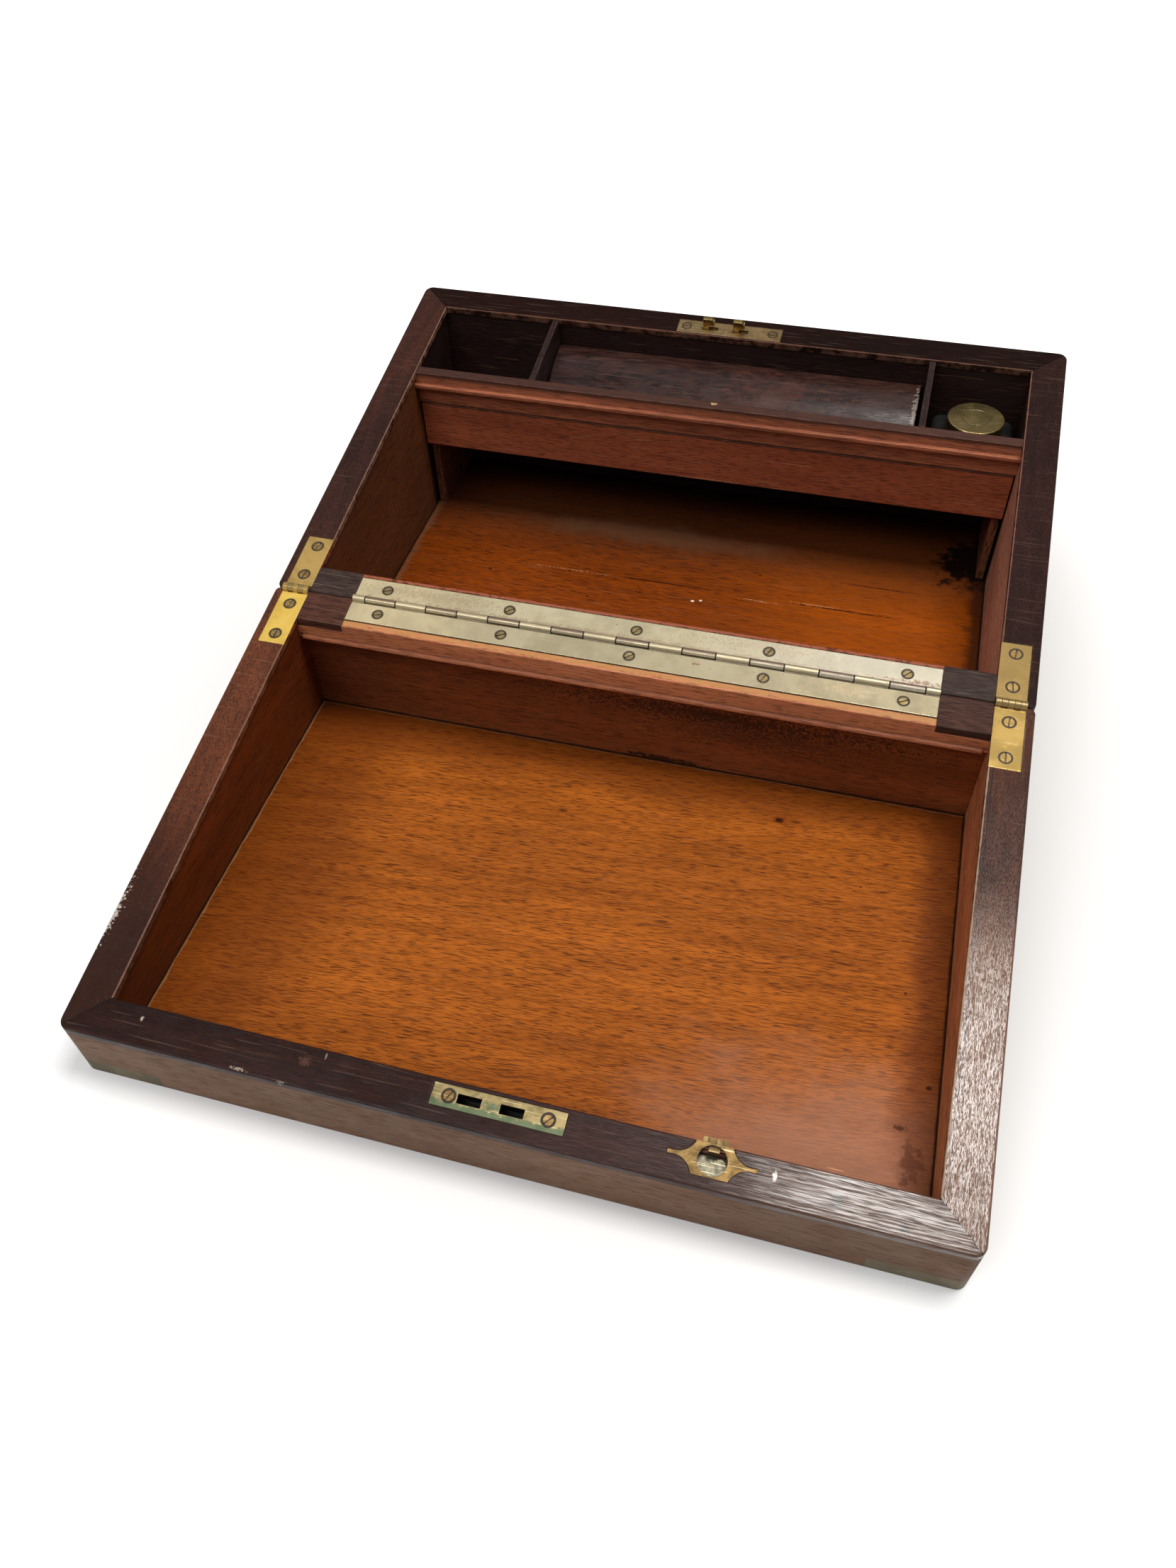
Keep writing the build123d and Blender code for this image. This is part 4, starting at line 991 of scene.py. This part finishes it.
@dataclass
class BaseHalf(Half):
    """The base half: its board, walls, rims and outer veneer."""

    hinge_y: float = 0.0145
    tear_step: float = 0.0008
    nick_step: float = 0.0002
    bay_y: float = 0.1556
    bay_fade: tuple[float, float] = (-0.001, 0.002)

    def dress_board(self) -> None:
        """Gives the base's inside board its mahogany, painted brighter towards the right and with painted
        shadow under the pen bay.
        """
        dirt, dust, knot, torn = tone(40, 20, 12), tone(120, 96, 70), tone(40, 17, 7), tone(206, 160, 116)
        spots = (
            (-0.065, 0.1164, 0.022, 0.0005, torn, 0.22, 1.6, 0.0016, 0.4),
            (-0.012, 0.1168, 0.038, 0.0007, knot, 0.9),
            (0.043, 0.1138, 0.010, 0.0005, torn, 0.3, 1.6, 0.0016, 0.4),
            (0.086, 0.1162, 0.030, 0.0008, knot, 0.85, 0.6),
            (0.072, 0.1172, 0.012, 0.0005, torn, 0.25, 1.6, 0.0016, 0.4),
            (0.104, 0.1390, 0.030, 0.0006, knot, 0.7, 0.5),
            (-0.109, 0.1069, 0.0014, 0.0008, knot, 0.9, 0.3, 0.001),
            (-0.0647, 0.1153, 0.0013, 0.0009, knot, 0.9, 0.3, 0.001),
            (-0.0496, 0.0965, 0.0009, 0.0008, knot, 0.9, 0.3, 0.001),
            (-0.0226, 0.1061, 0.0010, 0.0006, knot, 0.8, 0.3, 0.001),
            (0.0393, 0.1354, 0.0010, 0.0008, knot, 0.9, 0.3, 0.001),
            (0.0072, 0.1057, 0.0012, 0.0008, tone(236, 222, 206), 0.95, 0.2, 0.001, 0.4),
            (0.0115, 0.1070, 0.0010, 0.0007, tone(232, 216, 198), 0.95, 0.2, 0.001, 0.4),
            (0.148, 0.170, 0.018, 0.026, tone(12, 8, 7), 0.95, 0.7, 0.006))
        WoodFinish(
            "base_board_mahogany", Run.ALONG_X, tone(140, 63, 8), tone(96, 40, 4), tone(50, 19, 3), seed=12.3,
            pore_length=0.0085, pore_width=0.00036, pore_cover=0.47, pore_share=0.8, figure_length=0.10,
            figure_width=0.007, figure_share=0.6, cloud_share=0.5, fibre_share=0.5, waver=0.008,
            rough=(0.34, 0.44), sheen=0.1, relief=0.00003, scratch_share=0.1,
            marks=(
                # Painted light: this zone paints the board brighter towards the right.
                Zone(Axis.X, 0.0, 0.10, tone(206, 102, 14), 0.2),
                # Painted shadow: the next zone darkens the board towards the pen bay, mixed with the dust
                # there, and the one after paints near-black shadow under the bay.
                Zone(Axis.Y, 0.112, 0.168, tone(50, 29, 18), 0.7),
                Zone(Axis.Y, 0.178, 0.205, tone(8, 5, 4), 0.75),
                Strip(Axis.X, -self.inner_x, 0.006, dust, 0.25, 0.5, 0.012),
                BOARD.mark(-0.03, 0.157, 0.11, 0.013, tone(96, 66, 46), 0.5, 0.4, 0.02, 0.8),
                Strip(Axis.X, -self.inner_x, 0.0012, dirt, 0.9),
                Strip(Axis.X, self.inner_x, 0.010, dirt, 0.75, 0.4, 0.01),
                Strip(Axis.X, self.inner_x, 0.0014, dirt, 0.9),
                *(BOARD.mark(*spot) for spot in spots))).put_on("base_bottom_board")

    def dress(self) -> None:
        """Gives every piece of the base half its finish."""
        self.dress_board()
        # Painted shade: the side walls are painted dark past the front of the pen bay, for the shade inside
        # it.
        bay = Zone(Axis.Y, *(self.bay_y + step for step in self.bay_fade), tone(26, 14, 14), 0.95)
        torn = Patch((0.0, self.hinge_y - self.tear_step, 0.0744), (0.24, 0.0014, 0.0012),
                     tone(152, 84, 58), 0.8, 0.9, 0.003)
        # Painted light: as in the lid, the right wall's tones are a lit copy of the left wall's wood, painted
        # far paler for the light falling on it.
        self.dress_walls(
            "base", ("left", Run.ALONG_Y, tone(108, 62, 34), tone(76, 42, 22), 13.1, (bay,)),
            ("right", Run.ALONG_Y, tone(212, 152, 126), tone(164, 106, 84), 14.3, (bay,)),
            ("back", Run.ALONG_X, tone(42, 24, 22), tone(26, 14, 14), 15.5, ()),
            ("hinge", Run.ALONG_X, tone(118, 58, 36), tone(82, 36, 20), 16.7, (torn,)))
        worn = Strip(Axis.X, self.lip_x + self.lip_step, 0.0004, tone(150, 104, 90), 0.6, 0.5)
        nicked = Strip(Axis.X, -self.lip_x - self.nick_step, 0.0003, tone(176, 134, 110), 0.5, 0.5, 0.004)
        inner = Strip(Axis.Y, self.lip_y + self.lip_step, 0.0004, tone(158, 110, 88), 0.3, 0.7)
        replace(ROSEWOOD, name="base_right_rim_rosewood", seed=17.3, sheen=0.12,
                marks=(worn,)).put_on("base_rim_right")
        replace(ROSEWOOD, name="base_left_rim_rosewood", pale=tone(78, 42, 31), deep=tone(33, 16, 13),
                seed=17.9, sheen=0.16, marks=(nicked,)).put_on("base_rim_left")
        replace(ROSEWOOD, name="base_back_rim_rosewood", run=Run.ALONG_X, pale=tone(40, 19, 14),
                deep=tone(17, 9, 7), seed=18.9, sheen=0.05, marks=(inner,)).put_on("base_rim_back")
        WoodFinish(
            "base_side_walnut", Run.ROUND_BOX, tone(129, 97, 75), tone(96, 69, 52), tone(60, 41, 30),
            seed=19.2, pore_length=0.008, pore_cover=0.47, pore_share=0.5, figure_length=0.11,
            figure_width=0.016, figure_twist=1.4, figure_share=0.8, cloud_share=0.7, fibre_share=0.4,
            rough=(0.4, 0.54), sheen=0.14, edge=tone(70, 44, 30), edge_share=0.5, scratch=tone(150, 124, 102),
        ).put_on("base_outer_veneer")


@dataclass
class PenBay:
    """The pen bay: its rail, fascia, floor, dividers, bearers and round-topped cover."""

    fascia_top: float = 0.0785
    rail_edge: tuple[float, float] = (0.1519, 0.0986)

    def glint(self, x: float, wide: float, high: float, colour: Tone, share: float) -> Patch:
        """Returns a painted highlight on the rail's upper edge: a pale streak for the glint and wear along it.
        """
        return Patch((x, *self.rail_edge), (0.085, wide, high), colour, share, 0.9, 0.003)

    def dress_woods(self) -> None:
        """Gives the rail, the fascia, the floor, the dividers and the bearers their finishes."""
        speck = Patch(
            (0.0043, 0.1568, 0.0993), (0.0022, 0.0012, 0.003), tone(204, 168, 112), 0.7, 0.4, 0.001)
        rail = WoodFinish(
            "pen_rail_mahogany", Run.ALONG_X, tone(180, 106, 74), tone(124, 68, 46), tone(54, 27, 18),
            seed=21.1, pore_length=0.009, pore_width=0.0004, pore_cover=0.48, pore_share=0.5,
            figure_length=0.16, figure_width=0.004, fibre_share=0.5, rough=(0.3, 0.5),
            edge=tone(160, 106, 82), edge_radius=0.0007, scratch_share=0.5, scratch=tone(170, 120, 90),
            marks=(
                Zone(Axis.Z, 0.0940, 0.0974, tone(36, 20, 16), 0.88),
                # Painted highlights: the two glints below stand for the light caught on the rail's upper edge.
                self.glint(0.08, 0.0009, 0.0012, tone(214, 184, 164), 0.85),
                self.glint(-0.07, 0.0007, 0.0009, tone(176, 128, 104), 0.7),
                Strip(Axis.Z, self.fascia_top, 0.0008, tone(24, 12, 9), 0.8, 0.3),
                speck))
        rail.put_on("pen_bay_rail")
        replace(
            rail, name="fascia_mahogany", pale=tone(166, 88, 56), deep=tone(120, 58, 37), seed=22.4,
            pore_length=0.006, pore_width=0.0005, figure_width=0.012, edge_share=0.5, edge=tone(160, 104, 74),
            rough=(0.42, 0.6),
            marks=(
                Strip(Axis.Z, self.fascia_top, 0.0012, tone(30, 14, 9), 0.8, 0.3),
                Patch((0.004, 0.1556, 0.0528), (0.02, 0.004, 0.0012), tone(168, 110, 78), 0.8, 0.5, 0.002),
            )).put_on("pen_bay_fascia")
        dark = WoodFinish(
            "pen_bay_dark_wood", Run.ALONG_X, tone(36, 20, 19), tone(20, 11, 11), tone(10, 6, 6), seed=23.8,
            rough=(0.45, 0.65), sheen=0.2, scratch_share=0.2, scratch=tone(70, 48, 42))
        ink = Patch((0.13, 0.18, 0.058), (0.03, 0.03, 0.003), tone(6, 5, 8), 0.9, 0.6, 0.01)
        replace(dark, marks=(ink,)).put_on("pen_bay_floor")
        replace(dark, name="divider_wood", run=Run.ALONG_Y, pale=tone(52, 33, 30), deep=tone(32, 19, 18),
                seed=24.6, edge=tone(138, 92, 78), edge_share=0.7, edge_radius=0.0007,
                ).put_on("pen_bay_divider_left", "pen_bay_divider_right")
        replace(dark, name="bearer_wood", run=Run.ALONG_Z, pale=tone(128, 78, 50), deep=tone(88, 50, 32),
                seed=25.2, edge=tone(170, 118, 82), edge_radius=0.0008,
                ).put_on("pen_bay_bearer_left", "pen_bay_bearer_right")

    def dress(self) -> None:
        """Gives every piece of the pen bay its finish."""
        self.dress_woods()
        clouds = (
            (0.034, 0.184, 0.034, 0.018, tone(104, 58, 44), 0.22, 1.2, 0.007, 0.9),
            (0.100, 0.184, 0.016, 0.018, tone(84, 70, 64), 0.12, 0.9, 0.004, 0.8, -0.02),
            # Painted highlight: this third patch, a pale streak on the cover's right end, stands for the glint
            # on its rounded end, with some wear.
            (0.1046, 0.186, 0.0014, 0.016, tone(176, 160, 146), 0.5, 1.4, 0.0014),
            (-0.070, 0.168, 0.04, 0.004, tone(92, 58, 40), 0.5, 0.8, 0.004, 0.7))
        WoodFinish(
            "pen_cover_walnut", Run.ALONG_X, tone(66, 39, 32), tone(15, 9, 10), tone(16, 9, 9), seed=26.7,
            pore_length=0.004, pore_cover=0.45, pore_share=0.4, figure_length=0.035, figure_width=0.009,
            figure_twist=3.2, figure_share=1.0, fibre_share=0.1, waver=0.02, rough=(0.24, 0.38), sheen=0.2,
            relief=0.00002, edge=tone(96, 72, 62), edge_share=0.4, scratch_share=0.12,
            marks=tuple(COVER.mark(*cloud) for cloud in clouds)).put_on("pen_cover")


@dataclass
class Hinges:
    """The hinges across the middle: the piano hinge, the two strap hinges, their screws and the wood between.

    A screw's place is how far it lies out from the line of the pins, and how far above it on the base's leaf.
    """

    piano_pitch: float = 0.0604
    piano_screw: tuple[float, float] = (0.00719, 0.00125)
    piano_seat: float = 0.0024
    strap_x: float = 0.1647
    strap_screws: tuple[tuple[float, float], ...] = ((0.00906, 0.00158), (0.02680, 0.00466))
    strap_seat: float = 0.0027

    def piano_seats(self, half: int) -> Marks:
        """Returns the rings round one piano leaf's screws; half is 1 for the base and -1 for the lid."""
        y, z = self.piano_screw[0] * half, PIN_HEIGHT + self.piano_screw[1] * half
        return tuple(Seat((step * self.piano_pitch, y, z), self.piano_seat) for step in range(-2, 3))

    def strap_seats(self, half: int) -> Marks:
        """Returns the rings round both straps' screws on one half, told apart as in piano_seats."""
        return tuple(Seat((side * self.strap_x, out * half, PIN_HEIGHT + up * half), self.strap_seat)
                     for side in (-1, 1) for out, up in self.strap_screws)

    def dress_straps(self) -> None:
        """Gives the strap hinges' leaves their finishes."""
        knuckles = Strip(Axis.Y, 0.0, 0.0034, tone(104, 88, 54), 0.75, 0.05, 0.01, 0.1)
        golden = MetalFinish(
            "golden_strap_brass", tone(252, 210, 104), tone(232, 186, 84), rough=(0.22, 0.3),
            patch_size=0.012, patch_share=0.4, pit_share=0.1, relief=0.000002, scratch_amount=0.3,
            marks=(knuckles,) + self.strap_seats(-1))
        golden.put_on("strap_hinge_left_lid_leaf")
        replace(golden, name="right_strap_brass", clean=tone(196, 164, 96), dull=tone(162, 132, 76),
                ).put_on("strap_hinge_right_lid_leaf")
        olive = replace(
            golden, name="dull_strap_brass", clean=tone(206, 170, 102), dull=tone(176, 144, 84),
            patch_share=0.5, pit_share=0.2, marks=(knuckles,) + self.strap_seats(1))
        olive.put_on("strap_hinge_left_base_leaf")
        replace(olive, name="right_dull_strap_brass", clean=tone(180, 150, 94), dull=tone(148, 122, 74),
                ).put_on("strap_hinge_right_base_leaf")

    def dress_piano(self) -> None:
        """Gives the piano hinge's leaves their finishes."""
        rust = tone(112, 66, 42)
        ends = Zone(Axis.X, -0.05, -0.12, tone(228, 208, 164), 0.6)
        middle = Zone(Axis.X, 0.01, 0.11, tone(226, 218, 198), 0.7)
        spots = (
            (0.125, 0.0036, 0.012, 0.0014, rust, 0.7, 1.6, 0.0016, 0.6, 0.2),
            (0.060, 0.0090, 0.030, 0.0030, rust, 0.3, 2.0, 0.0012, 0.5, 0.1),
            (-0.095, 0.0080, 0.030, 0.0030, rust, 0.25, 2.0, 0.0012, 0.5, 0.1),
            (0.030, -0.0055, 0.0022, 0.0009, rust, 0.8, 1.4, 0.001, 0.5, 0.2),
            (0.095, -0.0060, 0.014, 0.0030, tone(168, 140, 108), 0.45, 1.8, 0.0012, 0.6, 0.1),
            (0.0, 0.0030, 0.130, 0.0008, rust, 0.35, 2.2, 0.0022, 0.4, 0.1))
        stains_and_shade = (
            *(LEAF.mark(*spot) for spot in spots),
            # Painted shade: the two dark strips where each leaf turns into the barrel stand for the shade in
            # that crease.
            Strip(Axis.Y, 0.0021, 0.0003, tone(50, 38, 28), 0.6, 0.3, 0.01, 0.2),
            Strip(Axis.Y, -0.0021, 0.0004, tone(40, 28, 20), 0.8, 0.3, 0.01, 0.2),
            Joints(-0.1292, 0.0152, 0.0021))
        nickel = MetalFinish(
            "pale_piano_brass", tone(206, 194, 160), tone(162, 150, 120), rough=(0.2, 0.3), patch_size=0.022,
            patch_share=0.5, pit_share=0.4, pit_size=0.0011, scratch_spacing=0.004, scratch_amount=0.3,
            relief=0.000002)
        brown = Strip(Axis.Y, 0.0005, 0.0024, tone(92, 68, 58), 0.9, 0.1, 0.01, 0.15)
        barrel = Strip(Axis.Y, 0.0, 0.0032, tone(160, 146, 120), 0.4, 0.05, 0.01, 0.12)
        replace(nickel, name="brown_knuckle_piano_brass",
                marks=(ends, middle, brown, *stains_and_shade, *self.piano_seats(1))).put_on("piano_hinge_base_leaf")
        replace(nickel, clean=tone(196, 183, 150), dull=tone(154, 142, 112),
                marks=(ends, barrel, *stains_and_shade, *self.piano_seats(-1))).put_on("piano_hinge_lid_leaf")

    def dress(self) -> None:
        """Gives every hinge piece its finish."""
        self.dress_straps()
        self.dress_piano()
        MetalFinish("pin_brass", tone(190, 160, 110), tone(130, 100, 60),
                    ).put_on("piano_hinge_pin", "strap_hinge_pins")
        screws = MetalFinish(
            "strap_screw_brass", tone(172, 142, 88), tone(130, 104, 60), tone(14, 10, 6), rough=(0.26, 0.4),
            patch_size=0.003, edge_radius=0.0002, crevice_reach=0.0020, pit_share=0.0,
            marks=self.strap_seats(1) + self.strap_seats(-1))
        screws.put_on("lid_strap_hinge_screws", "base_strap_hinge_screws")
        replace(screws, name="piano_screw_brass", clean=tone(160, 140, 100), dull=tone(120, 101, 66),
                marks=self.piano_seats(1) + self.piano_seats(-1),
                ).put_on("lid_piano_hinge_screws", "base_piano_hinge_screws")
        bare = Patch(
            (0.11, -0.0150, 0.0690), (0.035, 0.0016, 0.003), tone(178, 124, 76), 0.7, 0.8, 0.003, 0.6)
        WoodFinish(
            "hinge_rail_mahogany", Run.ALONG_X, tone(210, 134, 93), tone(158, 91, 62), tone(58, 29, 18),
            seed=31.1, pore_length=0.008, pore_cover=0.47, pore_share=0.5, figure_width=0.006,
            fibre_share=0.5, rough=(0.38, 0.56), edge=tone(140, 88, 60), edge_share=0.4,
            edge_radius=0.0008, scratch_share=0.3,
            marks=(
                Strip(Axis.Y, -0.0142, 0.0021, tone(176, 126, 74), 0.85, 1.3, 0.0022),
                Strip(Axis.Z, 0.0597, 0.0009, tone(92, 48, 34), 0.6),
                bare,
                Strip(Axis.Y, -0.0127, 0.0006, tone(24, 13, 9), 0.9, 0.3))).put_on("lid_hinge_rail")
        block = WoodFinish(
            "hinge_block_ebony", Run.ALONG_X, tone(78, 60, 54), tone(48, 35, 31), tone(26, 17, 15), seed=32.9,
            pore_length=0.006, pore_width=0.0003, fibre_share=0.6, rough=(0.36, 0.5), sheen=0.16,
            edge=tone(112, 90, 80), edge_share=0.5, marks=(Zone(Axis.X, 0.0, 0.14, tone(46, 34, 30), 0.35),))
        block.put_on("base_hinge_block_left", "base_hinge_block_right")
        replace(block, name="hinge_block_rosewood", pale=tone(98, 60, 48), deep=tone(58, 33, 26), seed=33.4,
                sheen=0.12).put_on("lid_hinge_block_left", "lid_hinge_block_right")


@dataclass
class LockAndCatch:
    """The base's lock, its strike plate in the lid's rim, the catch beside that, and the escutcheon."""

    strike_front: float = -0.2155
    screw_places: tuple[Triple, ...] = (
        (-0.0171, -0.2119, 0.0351), (0.0209, -0.2119, 0.0351),
        (-0.02205, 0.2123, 0.1089), (0.02455, 0.2123, 0.1089))
    screw_radius: float = 0.0024

    def dress(self) -> None:
        """Gives every piece of the lock and the catch its finish."""
        seats = tuple(Seat(place, self.screw_radius) for place in self.screw_places)
        green = Strip(Axis.Y, self.strike_front, 0.0022, tone(74, 112, 84), 0.65, 1.0, 0.002, 0.25)
        bloom = Patch(
            (0.0, -0.2120, 0.0345), (0.006, 0.0016, 0.003), tone(84, 118, 88), 0.6, 0.8, 0.0015, 0.6, 0.2)
        MetalFinish(
            "strike_brass", tone(148, 132, 94), tone(102, 90, 60), rough=(0.42, 0.58), pit_share=0.35,
            marks=(green, bloom) + seats).put_on("strike_plate")
        MetalFinish(
            "strike_screw_brass", tone(146, 116, 72), tone(100, 76, 44), tone(14, 10, 6), rough=(0.36, 0.52),
            patch_size=0.003, edge_radius=0.0002, pit_share=0.0, crevice_reach=0.002, marks=seats,
        ).put_on("strike_plate_screws", "lock_plate_screws")
        MetalFinish("lock_plate_brass", tone(160, 134, 94), tone(104, 84, 54), rough=(0.34, 0.52),
                    marks=seats).put_on("lock_plate")
        MetalFinish("bolt_brass", tone(190, 160, 96), tone(110, 88, 50), rough=(0.22, 0.42),
                    patch_size=0.003).put_on("lock_bolt", "lock_tumbler", "lock_case")
        MetalFinish("catch_brass", tone(126, 102, 64), tone(88, 70, 42), rough=(0.48, 0.6), patch_size=0.004,
                    pit_share=0.5).put_on("catch_plate", "catch_bolt")
        MetalFinish("catch_cup_brass", tone(96, 92, 78), tone(44, 42, 38), rough=(0.15, 0.4),
                    patch_size=0.003).put_on("catch_cup")
        MetalFinish("escutcheon_brass", tone(214, 176, 104), tone(156, 122, 66)).put_on("keyhole_escutcheon")


@dataclass
class Inkwell:
    """The inkwell in the right end of the pen bay: its bottle, collar and cap."""

    cap_clean: Tone = tone(164, 144, 96)
    collar_clean: Tone = tone(120, 100, 62)

    def dress(self) -> None:
        """Gives every piece of the inkwell its finish."""
        GlassFinish("ink_bottle_glass").put_on("inkwell_bottle")
        cap = MetalFinish("cap_brass", self.cap_clean, tone(108, 93, 57), rough=(0.34, 0.5),
                          patch_size=0.005, pit_share=0.4)
        cap.put_on("inkwell_cap")
        replace(cap, name="collar_brass", clean=self.collar_clean).put_on("inkwell_collar")


# ----------------------------------------------------------------------------------------------------- studio


@dataclass
class Studio:
    """The table top, the soft lamps and the room light that the writing slope is looked at in."""

    table_size: float = 24.0
    table_drop: float = 0.0004
    table_tone: float = 0.78
    table_lift: float = 0.75
    lift_reach: tuple[float, float] = (0.15, 0.60)
    room_strength: float = 0.22
    aim: Triple = (0.0, 0.0, 0.05)

    def lay_table(self) -> None:
        """Makes the pale table top under the slope, which keeps its shadow and otherwise shows as white."""
        bpy.ops.object.select_all(action="DESELECT")
        bpy.ops.mesh.primitive_plane_add(size=self.table_size, location=(0.0, 0.0, -self.table_drop))
        table = bpy.context.object
        table.name = "table_top"
        material = bpy.data.materials.new("pale_table")
        bench = empty_bench(material)
        matt = bench.put("ShaderNodeBsdfDiffuse", {"Color": (*[self.table_tone] * 3, 1.0)})
        path = bench.put("ShaderNodeLightPath").outputs
        seen = bench.over(path["Is Camera Ray"], path["Is Glossy Ray"])
        seen = bench.over(seen, path["Is Transmission Ray"])
        away = bench.ease(bench.vector("LENGTH", bench.here()), *self.lift_reach, 0.0, self.table_lift)
        glow = bench.put("ShaderNodeEmission", {"Strength": bench.times(seen, away)})
        both = bench.put("ShaderNodeAddShader", {0: matt.outputs[0], 1: glow.outputs[0]})
        bench.put("ShaderNodeOutputMaterial", {"Surface": both.outputs[0]})
        table.data.materials.append(material)

    def hang_lamp(self, name: str, place: Triple, size: tuple[float, float], power: float,
                  glow: Triple = (1.0, 1.0, 1.0)) -> None:
        """Hangs a soft rectangular lamp that faces the slope.

        Args:
            name: The lamp's name.
            place: Where its middle hangs, in metres.
            size: Its width and height, in metres.
            power: Its power in watts.
            glow: The colour of its light.
        """
        bpy.ops.object.select_all(action="DESELECT")
        bpy.ops.object.light_add(type="AREA", location=place)
        lamp = bpy.context.object
        lamp.name = name
        lamp.data.shape = "RECTANGLE"
        lamp.data.size, lamp.data.size_y = size
        lamp.data.energy = power
        lamp.data.color = glow
        lamp.visible_camera = False
        lamp.rotation_mode = "QUATERNION"
        lamp.rotation_quaternion = (Vector(self.aim) - Vector(place)).to_track_quat("-Z", "Y")

    def light(self) -> None:
        """Lights the room evenly and hangs the lamps."""
        world = bpy.data.worlds.new("room")
        bench = empty_bench(world)
        seen = bench.put("ShaderNodeLightPath").outputs["Is Camera Ray"]
        strength = bench.sum_up("MULTIPLY_ADD", seen, 1.0 - self.room_strength, self.room_strength)
        background = bench.put("ShaderNodeBackground", {"Color": (1.0, 1.0, 1.0, 1.0), "Strength": strength})
        bench.put("ShaderNodeOutputWorld", {"Surface": background.outputs[0]})
        bpy.context.scene.world = world
        self.hang_lamp("front_softbox", (-0.45, -0.9, 1.5), (1.0, 1.0), 13.0)
        self.hang_lamp("ceiling_lamp", (0.36, 0.05, 1.5), (0.42, 0.60), 18.0, (1.0, 0.97, 0.93))
        self.hang_lamp("back_card", (-0.30, 0.78, 1.5), (1.65, 0.6), 2.5)


@dataclass
class Viewpoint:
    """The camera that looks down on the opened slope from its front right."""

    place: Triple = (0.095406, -0.384798, 0.437200)
    forward: Triple = (-0.19322789, 0.62196865, -0.75882671)
    right: Triple = (0.96440288, 0.26270091, -0.03025435)
    focal_pixels: float = 1678.03
    frame_pixels: float = 2212.0
    sensor: float = 36.0
    near: float = 0.01
    far: float = 60.0

    def set_up(self) -> None:
        """Makes the camera and hands it to the scene."""
        data = bpy.data.cameras.new("viewpoint")
        data.sensor_fit = "VERTICAL"
        data.sensor_height = self.sensor
        data.sensor_width = self.sensor
        data.lens = self.sensor * self.focal_pixels / self.frame_pixels
        data.clip_start, data.clip_end = self.near, self.far
        camera = bpy.data.objects.new("viewpoint", data)
        bpy.context.scene.collection.objects.link(camera)
        back = -Vector(self.forward).normalized()
        side = Vector(self.right).normalized()
        turn = Matrix((side, back.cross(side), back)).transposed()
        camera.matrix_world = Matrix.Translation(self.place) @ turn.to_4x4()
        bpy.context.scene.camera = camera


def main() -> None:
    """Sets up the camera and the studio, and dresses the slope's sub-assemblies in order."""
    Viewpoint().set_up()
    studio = Studio()
    studio.lay_table()
    studio.light()
    for part in (LidHalf(), BaseHalf(), PenBay(), Hinges(), LockAndCatch(), Inkwell()):
        log.info("%s", type(part).__name__)
        part.dress()
    bpy.context.scene.view_settings.view_transform = "Standard"


if __name__ == "__main__":
    main()
